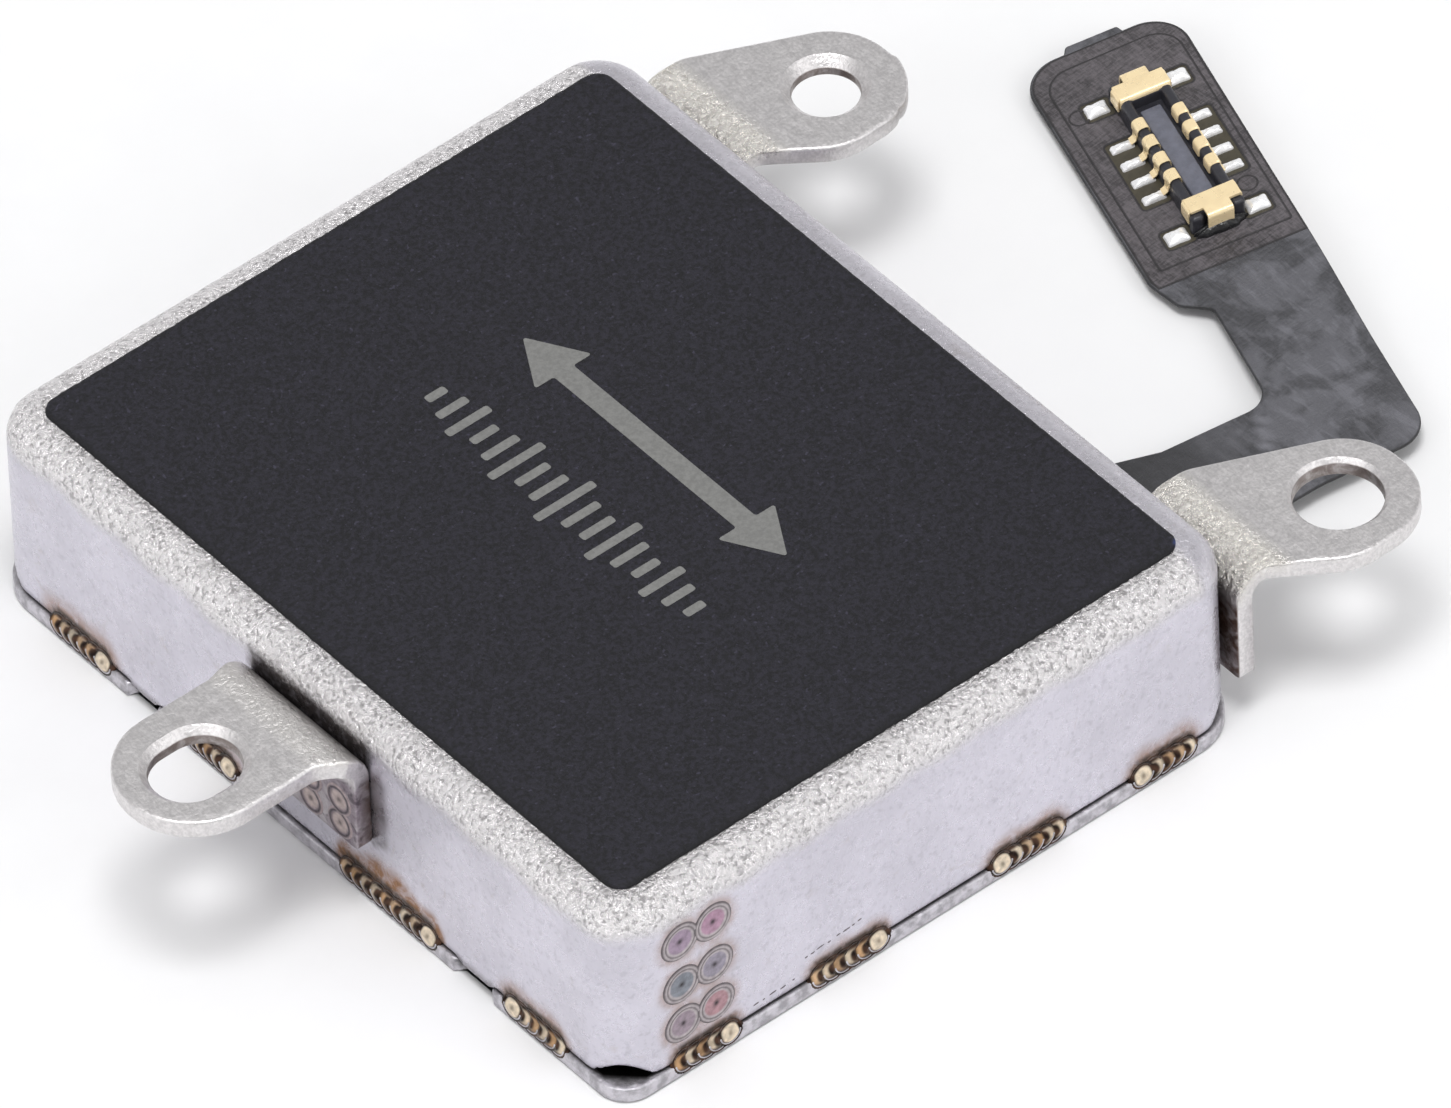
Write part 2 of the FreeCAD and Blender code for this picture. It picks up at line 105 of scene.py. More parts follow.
# ---- plan outlines ----
def rounded(points, step, arc_step):
    """Dense closed outline; a point given as (x, y, radius) is rounded."""
    n = len(points)
    ends = []
    for i, p in enumerate(points):
        here = Vector(p[:2])
        radius = p[2] if len(p) > 2 else 0
        if not radius:
            ends.append((here, here, []))
            continue
        back = (Vector(points[i - 1][:2]) - here).normalized()
        ahead = (Vector(points[(i + 1) % n][:2]) - here).normalized()
        half = back.angle(ahead) / 2
        centre = here + (back + ahead).normalized() * (radius / math.sin(half))
        a, b = here + back * radius / math.tan(half), here + ahead * radius / math.tan(half)
        start = math.atan2(a.y - centre.y, a.x - centre.x)
        turn = math.atan2(b.y - centre.y, b.x - centre.x) - start
        turn = (turn + math.pi) % (2 * math.pi) - math.pi
        k = max(2, round(abs(turn) * radius / arc_step))
        arc = [centre + radius * Vector((math.cos(start + turn * j / k), math.sin(start + turn * j / k)))
               for j in range(1, k)]
        ends.append((a, b, arc))
    out = []
    for i, (a, b, arc) in enumerate(ends):
        out.append(a)
        if arc:
            out += arc + [b]
        after = ends[(i + 1) % n][0]
        k = max(1, round((after - b).length / step))
        out += [b.lerp(after, j / k) for j in range(1, k)]
    kept = [p for p, q in zip(out, out[1:] + out[:1]) if (p - q).length > 1e-5]
    return np.array([(p.x, p.y) for p in kept])


def box_loop(hx, hy, radius, step, arc_step, at=(0, 0)):
    """Centred rounded rectangle, anticlockwise."""
    x, y = at
    return rounded([(x - hx, y - hy, radius), (x + hx, y - hy, radius), (x + hx, y + hy, radius),
                    (x - hx, y + hy, radius)], step, arc_step)


def round_angles(count):
    """This many angles, evenly once round."""
    return np.arange(count) * 2 * math.pi / count


def eye_loop(cx, cy, radius, stretch, count):
    """Round or slotted hole, clockwise, long way along X."""
    a = -round_angles(count)
    x = cx + radius * np.cos(a) + np.sign(np.cos(a)) * (np.abs(np.cos(a)) > 1e-9) * stretch / 2
    return np.stack([x, cy + radius * np.sin(a)], 1)


def left_normals(steps):
    """Unit normals on the left of each step along a line."""
    ahead = steps / np.linalg.norm(steps, axis=1)[:, None]
    return np.stack([-ahead[:, 1], ahead[:, 0]], 1)


def inset(loop, depth):
    """The loop moved into the material, which lies on its left."""
    if abs(depth) < 1e-9:
        return loop
    normal = left_normals(np.roll(loop, -1, 0) - loop)
    both = normal + np.roll(normal, 1, 0)
    mitre_limit = 0.8
    both /= np.maximum((both ** 2).sum(1), mitre_limit)[:, None] / 2
    return loop + both * depth


def inside(points, loops):
    """Even-odd test of points against closed loops."""
    odd = np.zeros(len(points), bool)
    for loop in loops:
        after = np.roll(loop, -1, 0)
        for (x0, y0), (x1, y1) in zip(loop, after):
            if y0 == y1:
                continue
            crosses = (y0 > points[:, 1]) != (y1 > points[:, 1])
            x_at = x0 + (points[:, 1] - y0) * (x1 - x0) / (y1 - y0)
            odd ^= crosses & (points[:, 0] < x_at)
    return odd


def smooth(low, high, value):
    """Smooth step from 0 at low to 1 at high."""
    t = np.clip((value - low) / (high - low), 0, 1)
    return t * t * (3 - 2 * t)


def fade(low, high, value):
    """Smooth step from 1 at low to 0 at high."""
    return 1 - smooth(low, high, value)


def plateau(rise, full, leave, end, value):
    """0 before rise, 1 from full to leave, 0 after end."""
    return smooth(rise, full, value) * fade(leave, end, value)


# ---- solids ----
def cap(verts, rings, spacing, z, flip):
    """Triangles that close a solid over its end rings, with a grid of inner points if asked."""
    loops = [np.array([verts[i][:2] for i in ring]) for ring in rings]
    flat = np.concatenate(loops)
    index = [i for ring in rings for i in ring]
    edges = []
    for loop in loops:
        start, n = len(edges), len(loop)
        edges += [(start + i, start + (i + 1) % n) for i in range(n)]
    if spacing:
        low, high = flat.min(0), flat.max(0)
        gx, gy = np.meshgrid(np.arange(low[0] + spacing / 2, high[0], spacing),
                             np.arange(low[1] + spacing / 2, high[1], spacing))
        grid = np.stack([gx.ravel(), gy.ravel()], 1)
        grid = grid[inside(grid, loops)]
        from_edge = spacing * 0.45
        clear = np.array([np.min(np.hypot(*(flat - g).T)) > from_edge for g in grid], bool)
        grid = grid[clear] if len(grid) else grid
        index += list(range(len(verts), len(verts) + len(grid)))
        verts += [(x, y, z) for x, y in grid]
        flat = np.concatenate([flat, grid])
    points, _, triangles, origin, *_ = delaunay_2d_cdt([Vector(p) for p in flat], edges, [], 1, 1e-7)
    middle = np.array([np.mean([points[i][:] for i in t], 0) for t in triangles])
    keep = inside(middle, loops)
    faces = []
    for triangle, ok in zip(triangles, keep):
        if ok:
            ring = [index[origin[i][0]] for i in triangle]
            faces.append(tuple(reversed(ring)) if flip else tuple(ring))
    return faces


def solid(loops, profiles, spacing=None):
    """Closed solid over plan loops; each loop has a profile of (inset, z) from top to bottom."""
    verts, faces, tops, bottoms = [], [], [], []
    for loop, profile in zip(loops, profiles):
        rings = []
        for depth, z in profile:
            start = len(verts)
            verts += [(x, y, z) for x, y in inset(loop, depth)]
            rings.append(list(range(start, len(verts))))
        n = len(loop)
        for upper, lower in zip(rings, rings[1:]):
            faces += [(upper[i], lower[i], lower[(i + 1) % n], upper[(i + 1) % n]) for i in range(n)]
        tops.append(rings[0])
        bottoms.append(rings[-1])
    faces += cap(verts, tops, spacing, profiles[0][0][1], False)
    faces += cap(verts, bottoms, spacing, profiles[0][-1][1], True)
    return np.array(verts, float), faces


def edge_profile(z0, z1, top_r, bottom_r, rows=3):
    """Profile of a plate's edge with rounded upper and lower corners."""
    turn = [math.pi / 2 * i / rows for i in range(rows + 1)]
    upper = [(top_r * (1 - math.sin(a)), z1 - top_r * (1 - math.cos(a))) for a in turn]
    lower = [(bottom_r * (1 - math.cos(a)), z0 + bottom_r * (1 - math.sin(a))) for a in turn]
    return upper + lower


def slab(loop, z0, z1, top_r, bottom_r, rows=3, spacing=None):
    """Flat block over one plan loop, with rounded upper and lower edges."""
    return solid([loop], [edge_profile(z0, z1, top_r, bottom_r, rows)], spacing)


def join(shapes):
    """Several shapes as one; a shape is (verts, faces), or (verts, faces, masks) if it is painted."""
    faces, start = [], 0
    for shape in shapes:
        faces += [tuple(i + start for i in face) for face in shape[1]]
        start += len(shape[0])
    masks = [np.concatenate([shape[2] for shape in shapes])] if len(shapes[0]) > 2 else []
    return np.concatenate([shape[0] for shape in shapes]), faces, *masks


def outward(verts, faces):
    """Turn a closed solid's faces so that they look outwards."""
    volume = 0
    for face in faces:
        a = verts[face[0]]
        for i in range(1, len(face) - 1):
            volume += np.dot(a, np.cross(verts[face[i]], verts[face[i + 1]]))
    return (verts, faces) if volume > 0 else (verts, [tuple(reversed(face)) for face in faces])


def piece(name, shape, finish, body, replaces=(), angle=35):
    """Make the mesh object, give it its finish and let it ride its body."""
    verts, faces, *masks = shape
    mesh = bpy.data.meshes.new(name)
    mesh.from_pydata((verts * MM).tolist(), [], faces)
    mesh.validate()
    for paint in masks:
        layer = mesh.color_attributes.new("masks", "FLOAT_COLOR", "POINT")
        rgba = np.ones((len(verts), 4), np.float32)
        rgba[:, :paint.shape[1]] = paint
        layer.data.foreach_set("color", rgba.ravel())
    mesh.shade_smooth()
    mesh.set_sharp_from_angle(angle=math.radians(angle))
    mesh.materials.append(finish)
    made = put(name, mesh)
    if body:
        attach(made, body)
    if replaces:
        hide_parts(*replaces)
    return made


def one_mask(values):
    """Masks of a finish that reads two, with the second one empty."""
    return np.stack([values, values * 0.0], 1)


TAIL_TURN = math.radians(16.7)


# ---- materials ----
class Finish:
    """A material with small helpers; texture positions are in millimetres."""

    def __init__(self, name, color, roughness, metallic=0.0):
        self.material = bpy.data.materials.new(name)
        self.material.use_nodes = True
        self.nodes = self.material.node_tree.nodes
        self.shader = self.nodes["Principled BSDF"]
        self.shader.inputs["Metallic"].default_value = metallic
        self.shader.inputs["Roughness"].default_value = roughness
        self.shader.inputs["Base Color"].default_value = (*color, 1)
        self.place = self.node("ShaderNodeTexCoord").outputs["Object"]
        self.normal = None

    def node(self, kind, inputs=None, **settings):
        made = self.nodes.new(kind)
        for key, value in settings.items():
            setattr(made, key, value)
        for key, value in (inputs or {}).items():
            self.feed(made.inputs[key], value)
        return made

    def feed(self, socket, value):
        if isinstance(value, bpy.types.NodeSocket):
            self.material.node_tree.links.new(value, socket)
        else:
            socket.default_value = value

    def at(self, stretch, turn):
        scale = tuple(s / MM for s in stretch)
        return self.node("ShaderNodeMapping", {"Vector": self.place, "Scale": scale,
                                               "Rotation": (0, 0, turn)}).outputs["Vector"]

    def noise(self, scale, detail, stretch=(1, 1, 1), turn=0.0, distortion=0.0):
        made = self.node("ShaderNodeTexNoise", {
            "Vector": self.at(stretch, turn), "Scale": scale, "Detail": detail,
            "Roughness": 0.6, "Distortion": distortion})
        return made.outputs["Fac"]

    def times(self, a, b, operation="MULTIPLY"):
        made = self.node("ShaderNodeMath", operation=operation)
        self.feed(made.inputs[0], a)
        self.feed(made.inputs[1], b)
        return made.outputs[0]

    def plus(self, a, b):
        return self.times(a, b, "ADD")

    def band(self, value, low, high, to_low=0.0, to_high=1.0):
        made = self.node("ShaderNodeMapRange", {
            "Value": value, "From Min": low, "From Max": high, "To Min": to_low, "To Max": to_high},
            interpolation_type="SMOOTHSTEP")
        return made.outputs["Result"]

    def mix(self, factor, a, b, blend="MIX"):
        made = self.node("ShaderNodeMix", data_type="RGBA", blend_type=blend)
        self.feed(made.inputs[0], factor)
        self.feed(made.inputs[6], a)
        self.feed(made.inputs[7], b)
        return made.outputs[2]

    def mask(self, channel):
        layer = self.node("ShaderNodeVertexColor", layer_name="masks").outputs["Color"]
        return self.node("ShaderNodeSeparateColor", {"Color": layer}).outputs[channel]

    def patchy(self, channel, scale, detail, distortion, *ends):
        """A painted mask, broken up by noise."""
        broken = self.band(self.noise(scale, detail, distortion=distortion), *ends)
        return self.times(self.mask(channel), broken)

    def bump(self, height, distance):
        inputs = {"Height": height, "Distance": distance * MM, "Strength": 1.0}
        if self.normal is not None:
            inputs["Normal"] = self.normal
        self.normal = self.node("ShaderNodeBump", inputs).outputs["Normal"]
        self.feed(self.shader.inputs["Normal"], self.normal)

    def tone(self, value):
        self.color = value
        self.feed(self.shader.inputs["Base Color"], value)

    def lay(self, amount, color):
        """Lay a colour over the tone so far, by this much."""
        self.tone(self.mix(amount, self.color, color))

    def vary(self, value, low, high, base, dark, light):
        """Tone that runs between two shades of one colour as the value does between low and high."""
        self.tone(self.mix(self.band(value, low, high), shade(base, dark), shade(base, light)))

    def gloss(self, value):
        self.feed(self.shader.inputs["Roughness"], value)


def rgb(red, green, blue):
    """Linear colour from sRGB numbers of 0 to 255."""
    def linear(c):
        c /= 255
        return c / 12.92 if c <= 0.04045 else ((c + 0.055) / 1.055) ** 2.4
    return linear(red), linear(green), linear(blue)


def shade(color, factor):
    """Opaque colour for a socket: this one made darker or lighter."""
    return tuple(c * factor for c in color) + (1,)


def dye(red, green, blue):
    """The same, straight from sRGB numbers."""
    return shade(rgb(red, green, blue), 1)


def can_finish():
    """Satin stamped steel: mottled walls, crinkled top edge with painted highlight and crease shade, heat
    tint round the welds, sooty marks and painted shade.
    """
    base = rgb(208, 205, 215)
    f = Finish("can_satin_steel", base, metallic=0.85, roughness=0.28)
    f.vary(f.noise(0.8, 4.0), 0.35, 0.65, base, 0.93, 1.03)
    flecks = f.band(f.noise(10.0, 6.0), 0.52, 0.68)
    f.lay(f.times(flecks, 0.34), shade(base, 0.60))
    stains = f.band(f.noise(2.4, 6.0, distortion=0.5), 0.60, 0.74)
    f.lay(f.times(stains, 0.30), shade(rgb(190, 180, 172), 0.8))
    crinkle = f.mask(2)
    # Painted highlight: the crinkled top edge laid nearly white.
    f.lay(crinkle, dye(238, 235, 236))
    wrinkles = f.noise(13.0, 6.0, distortion=0.4)
    # Painted shade along the crinkle's crease lines.
    crease_shade = f.band(wrinkles, 0.50, 0.36)
    f.lay(f.times(f.times(crease_shade, crinkle), 0.6), dye(118, 115, 116))
    f.lay(f.patchy(0, 4.5, 6.0, 0.8, 0.34, 0.58, 0.55, 1.0), dye(142, 100, 64))
    # Sooty marks round the welds, with painted shade at the foot, by the tabs and on the inner faces.
    f.lay(f.patchy(1, 7.0, 4.0, 0.0, 0.30, 0.55, 0.65, 1.0), dye(48, 35, 27))
    f.gloss(f.plus(f.times(crinkle, -0.04), f.band(f.noise(5.0, 4.0), 0.3, 0.7, 0.24, 0.36)))
    f.bump(f.times(wrinkles, crinkle), 0.075)
    f.bump(f.noise(10.0, 5.0), 0.008)
    return f.material


def plate_finish():
    """Grey mottled steel, with painted shade in black where the can stands on it."""
    base = rgb(206, 203, 209)
    f = Finish("plate_steel", base, metallic=0.85, roughness=0.38)
    f.vary(f.noise(5.0, 5.0), 0.38, 0.66, base, 1.0, 0.60)
    # Painted shade: black within the can's outline.
    f.lay(f.mask(0), dye(26, 24, 23))
    f.gloss(f.band(f.noise(5.0, 3.0), 0.3, 0.7, 0.32, 0.5))
    f.bump(f.noise(9.0, 4.0), 0.02)
    return f.material


def tab_finish():
    """Fine-grained sheet, lightly crinkled where it is bent, with painted highlight and crease shade on the
    bend, and its leg tinted by heat.
    """
    base = rgb(226, 223, 223)
    f = Finish("tab_grained_steel", base, metallic=0.9, roughness=0.36)
    grain = f.noise(18.0, 5.0)
    brush = f.noise(9.0, 3.0, stretch=(3.0, 0.35, 1))
    f.vary(grain, 0.36, 0.64, base, 0.86, 1.04)
    f.lay(f.times(f.band(brush, 0.46, 0.66), 0.45), shade(base, 0.76))
    # Painted highlight: the crinkled bend laid paler.
    f.lay(f.times(f.mask(2), 0.8), dye(244, 240, 232))
    wrinkles = f.noise(12.0, 5.0, distortion=0.4)
    # Painted shade along the bend's crease lines.
    crease_shade = f.band(wrinkles, 0.54, 0.40)
    f.lay(f.times(f.times(crease_shade, f.mask(2)), 0.25), dye(150, 144, 132))
    f.lay(f.patchy(0, 2.2, 4.0, 0.6, 0.35, 0.62, 0.6, 1.0), dye(116, 102, 113))
    f.lay(f.patchy(0, 4.5, 3.0, 0.8, 0.56, 0.68, 0.0, 0.7), dye(62, 54, 62))
    f.lay(f.patchy(1, 4.0, 3.0, 0.6, 0.3, 0.6, 0.6, 1.0), dye(84, 62, 50))
    f.gloss(f.plus(f.times(f.mask(2), -0.12), f.band(f.noise(6.0, 3.0), 0.3, 0.7, 0.30, 0.44)))
    f.bump(f.times(wrinkles, f.mask(2)), 0.085)
    f.bump(grain, 0.012)
    return f.material


def weld_finish(name, roughness=0.3):
    """Metal whose colour comes from the painted masks."""
    f = Finish(name, (0.5, 0.5, 0.5), metallic=0.85, roughness=roughness)
    paint = f.node("ShaderNodeVertexColor", layer_name="masks").outputs["Color"]
    vary = f.band(f.noise(10.0, 4.0), 0.3, 0.7, 0.78, 1.12)
    grey = f.node("ShaderNodeCombineColor", {0: vary, 1: vary, 2: vary}).outputs[0]
    f.tone(f.mix(1.0, paint, grey, "MULTIPLY"))
    f.bump(f.noise(12.0, 4.0), 0.012)
    return f.material


def label_finish():
    """Matt black film with pale specks, a dark rim and one blue corner."""
    base = rgb(24, 23, 31)
    f = Finish("label_film", base, roughness=0.62)
    f.shader.inputs["Specular IOR Level"].default_value = 0.35
    grain = f.noise(16.0, 4.0)
    f.vary(grain, 0.36, 0.64, base, 0.45, 1.7)
    f.lay(f.times(f.band(f.noise(13.0, 1.0), 0.68, 0.76), 0.5), shade(base, 6.0))
    f.lay(f.mask(0), shade(base, 0.35))
    f.lay(f.mask(1), dye(52, 70, 128))
    f.bump(grain, 0.03)
    return f.material


def print_finish():
    """Grey ink of the generic mark."""
    base = rgb(118, 118, 116)
    f = Finish("label_print", base, roughness=0.6)
    f.vary(f.noise(14.0, 4.0), 0.3, 0.7, base, 0.85, 1.1)
    f.bump(f.noise(16.0, 3.0), 0.008)
    return f.material


def flex_finish(name, base, roughness, weave, sheen):
    """Coverlay: dark film with the weave of the layers showing through, marks of rubbing with painted sheen,
    and dark edges, painted shade and a painted highlight from the masks.
    """
    f = Finish(name, base, roughness=roughness)
    turn = TAIL_TURN
    threads = f.noise(9.0, 4.0, stretch=(3.0, 0.6, 1), turn=turn)
    picks = f.noise(9.0, 4.0, stretch=(0.6, 3.0, 1), turn=turn)
    cloth = f.plus(threads, picks)
    f.vary(cloth, 0.80, 1.20, base, 1 - weave, 1 + weave)
    # Lighter cloudy patches and streaks: partly marks of rubbing, partly painted sheen.
    cloud = f.band(f.noise(0.9, 6.0, distortion=0.7), 0.44, 0.58)
    streak = f.band(f.noise(3.2, 6.0, stretch=(1.6, 0.5, 1), turn=turn - 0.5, distortion=0.4), 0.48, 0.66)
    rub_and_sheen = f.plus(f.times(cloud, 0.6), f.times(streak, 0.5))
    f.lay(f.times(rub_and_sheen, sheen), shade(base, 2.6))
    # Darker where mask 0 is painted: the edges, and painted shade on the neck by the can.
    f.lay(f.mask(0), shade(base, 0.22))
    # Painted highlight along the fold crease, from mask 1.
    f.lay(f.mask(1), shade(base, 3.4))
    f.gloss(f.band(f.noise(2.5, 4.0, turn=turn), 0.3, 0.7, roughness - 0.08, roughness + 0.12))
    f.bump(cloth, 0.02)
    f.bump(f.noise(2.2, 3.0), 0.02)
    return f.material


def plain_finish(name, base, metallic, roughness, grain=8.0, depth=0.008, vary=0.12, stretch=(1, 1, 1)):
    """Finish with a fine grain in its tone, gloss and surface."""
    f = Finish(name, base, metallic=metallic, roughness=roughness)
    grains = f.noise(grain, 4.0, stretch=stretch)
    f.vary(grains, 0.3, 0.7, base, 1 - vary, 1 + vary)
    f.gloss(f.band(f.noise(grain * 0.6, 3.0), 0.3, 0.7, max(roughness - 0.07, 0.03), roughness + 0.1))
    f.bump(grains, depth)
    return f.material


CAN = can_finish()
PLATE = plate_finish()
TAB = tab_finish()
# Seam beads: heat tint, painted highlights and painted shade, all from their painted masks.
WELD = weld_finish("weld_heat_tint_and_highlights")
SPRING_SPOT = weld_finish("spring_weld_spot", 0.34)
LABEL = label_finish()
PRINT = print_finish()
FLEX = flex_finish("flex_film", rgb(66, 66, 70), 0.42, 0.2, 1.0)
COVERLAY = flex_finish("pad_coverlay", rgb(74, 70, 73), 0.5, 0.5, 0.35)
OLIVE = plain_finish("flex_substrate", rgb(66, 61, 48), 0.0, 0.5)
STIFFENER = plain_finish("stiffener_polyimide", rgb(120, 74, 30), 0.0, 0.45, 4.0)
MOULDING = plain_finish("connector_moulding", rgb(46, 46, 52), 0.0, 0.36, 10.0, 0.01)
TROUGH = plain_finish("connector_floor", rgb(104, 106, 118), 0.0, 0.45, 6.0, 0.02)
GOLD = plain_finish("gold_plate", rgb(255, 232, 186), 0.35, 0.28, 6.0, 0.003, 0.04)
SOLDER = plain_finish("solder", rgb(252, 252, 253), 0.35, 0.26, 4.0, 0.01, 0.06)
GLUE = plain_finish("sealing_glue", rgb(20, 20, 22), 0.0, 0.3, 7.0, 0.03)
SCUFF = plain_finish("scuff", rgb(104, 98, 102), 0.6, 0.5)
COPPER = plain_finish("enamelled_winding", rgb(196, 112, 66), 0.8, 0.3, 3.0, 0.03, 0.2, (0.2, 6.0, 1))
FILM = plain_finish("amber_film", rgb(168, 108, 40), 0.0, 0.3)
EPOXY = plain_finish("sensor_epoxy", rgb(30, 30, 31), 0.0, 0.55)
RUBBER = plain_finish("bumper_rubber", rgb(34, 34, 35), 0.0, 0.75)
FOAM = plain_finish("damper_foam", rgb(70, 70, 73), 0.0, 0.85, 14.0, 0.05, 0.3)
SPRING = plain_finish("spring_strip", rgb(190, 188, 184), 0.9, 0.3, 5.0, 0.006, 0.08, (1, 1, 6))
TUNGSTEN = plain_finish("tungsten_alloy", rgb(132, 132, 136), 0.85, 0.42, 6.0, 0.02)
NICKEL = plain_finish("nickel_plate", rgb(206, 202, 194), 0.95, 0.2, 4.0, 0.006)
YOKE = plain_finish("yoke_steel", rgb(186, 186, 188), 0.9, 0.34, 6.0, 0.01, 0.1, (4, 0.5, 1))


# ---- weld places, shared by the can's tint and the beads ----
SPOT_R, SPOT_Z = 0.225, 0.256
SPRING_SPOT_R, LEG_SPOT_R = 0.335, 0.27
SEAM_EDGE, DISC_EDGE = 1.2, 1.16       # how far a patch reaches, as a share of its spots' radius
BURIED = -0.05                         # where its hidden back lies, inside the wall
# for walls that face along X, then along Y; in each row, where it starts along the wall, where its
# last and only whole spot lies, and how many spots it has
WELD_ROWS = (((5.55, 4.57, 6), (2.45, 1.70, 5), (-1.07, -2.85, 9), (-5.72, -4.75, 6)),
             ((-4.70, -3.87, 5), (-2.15, -1.10, 6), (2.20, 1.22, 6), (4.68, 3.88, 5)))
LONG_ROW = 8                           # a row of more spots than this took more heat
SKIN = 0.06                            # how far under a wall's face a point still counts as on it
SPRING_SPOTS = [(x, z) for z in (0.98, 1.77, 2.64) for x in (-4.68, -4.07)]
LEG_SPOT_Z = (0.41, 0.88)              # above the leg's foot
HALO_REACH = (0.66, 0.56)              # on walls that face along X, then along Y
# tabs: node, side of the can, and where the leg lies along the wall
TAB_LEGS = (("left_tab", -1, -1.65, 1.10), ("right_tab", 1, -7.05, -4.80), ("back_tab", 1, 4.33, 6.58))


def wall_masks(verts):
    """Heat tint, sooty marks with painted shade, and crinkle on the can: from each point's place on the
    walls.
    """
    x, y, z = verts.T
    halo, soot_and_shade = np.zeros(len(verts)), np.zeros(len(verts))
    for sign, axis in ((-1, 1), (-1, 0), (1, 1), (1, 0)):
        along = -sign * (x, y)[1 - axis]
        wall = sign * (x, y)[axis] > (HALF_X, HALF_Y)[axis] - SKIN
        for start, last, count in WELD_ROWS[axis]:
            low, high = sorted((start, last))
            aside = np.maximum(np.maximum(low - along, along - high), 0)
            away = np.hypot(aside * 1.3, z - SPOT_Z)
            reach = HALO_REACH[axis] + 0.08 * math.sin(7 * start) + 0.05 * np.sin(9 * along + last)
            if count > LONG_ROW:
                reach = reach + 0.34 * fade(0.0, 0.9, np.abs(along - (low + high) / 2))
            glow = fade(0.24, reach, away) * (1.9 if count > LONG_ROW else 0.8)
            halo = np.maximum(halo, wall * np.minimum(glow, 1))
            soot_and_shade = np.maximum(soot_and_shade, wall * fade(0.25, 0.36, away))
        for u, w in SPRING_SPOTS * axis:
            away = np.hypot(along - u, z - w)
            halo = np.maximum(halo, wall * fade(0.30, 0.52, away) * 0.6)
    # Painted shade along the can's foot, where it stands on the plate.
    soot_and_shade = np.maximum(soot_and_shade, 0.6 * fade(PLATE_T + 0.04, PLATE_T + 0.09, z))
    # Painted shade and dark reflection on the wall behind each tab's bend, and painted shadow on the wall
    # beside each leg's edge towards -Y.
    for node, out, y0, y1 in TAB_LEGS:
        foot, top = (corner[2] for corner in cad(node))
        behind = plateau(y0 - 0.06, y0 + 0.10, y1 - 0.10, y1 + 0.06, y)
        behind = behind * plateau(top - 0.75, top - 0.4, top - 0.05, top + 0.12, z)
        soot_and_shade = np.maximum(soot_and_shade, 0.9 * behind * (out * x > HALF_X - WALL_T))
        beside = smooth(y0 - 0.36, y0 - 0.30, y) * (y < y0 + 0.1)
        beside = beside * smooth(foot - 0.02, foot + 0.05, z - (y0 - y) * 0.5)
        beside = beside * fade(top - 0.62, top - 0.40, z) * (out * x > HALF_X - SKIN)
        soot_and_shade = np.maximum(soot_and_shade, 0.62 * beside * (0.75 + 0.25 * np.sin(9 * z + 2 * y)))
    # Crinkled zone of the rolled top edge, which the finish paints light as a painted highlight, with painted
    # shade in its crease lines.
    edge = smooth(CAN_TOP - 0.60, CAN_TOP - 0.30, z + 0.06 * np.sin(5 * x) * np.sin(4.3 * y))
    edge = edge * (1 - 0.75 * smooth(HALF_X - 0.8, HALF_X - 0.6, x))
    return np.stack([halo, soot_and_shade, edge], 1)


# ---- can and plate ----
def ripple(x, y, z, size):
    """Smooth repeatable unevenness, about -1 to 1."""
    a = np.sin(x * 2.3 / size + 1.7 * np.sin(y * 1.1 / size + z)) + np.sin(y * 2.9 / size + z * 3.1 / size)
    return (a + np.sin((x + y - z) * 4.7 / size)) / 3


def notches(along):
    """One where the plate's long edge steps in and the can's foot reaches down over it."""
    out, into = 0.05, 0.06
    return sum(plateau(low - out, low + into, high - into, high + out, along) for low, high in NOTCHES)


def off_corner(x, y):
    """How far a plan point is from the core that the can's corner arcs are drawn round."""
    return np.hypot(np.maximum(np.abs(x) - (HALF_X - CORNER_R), 0),
                    np.maximum(np.abs(y) - (HALF_Y - CORNER_R), 0))


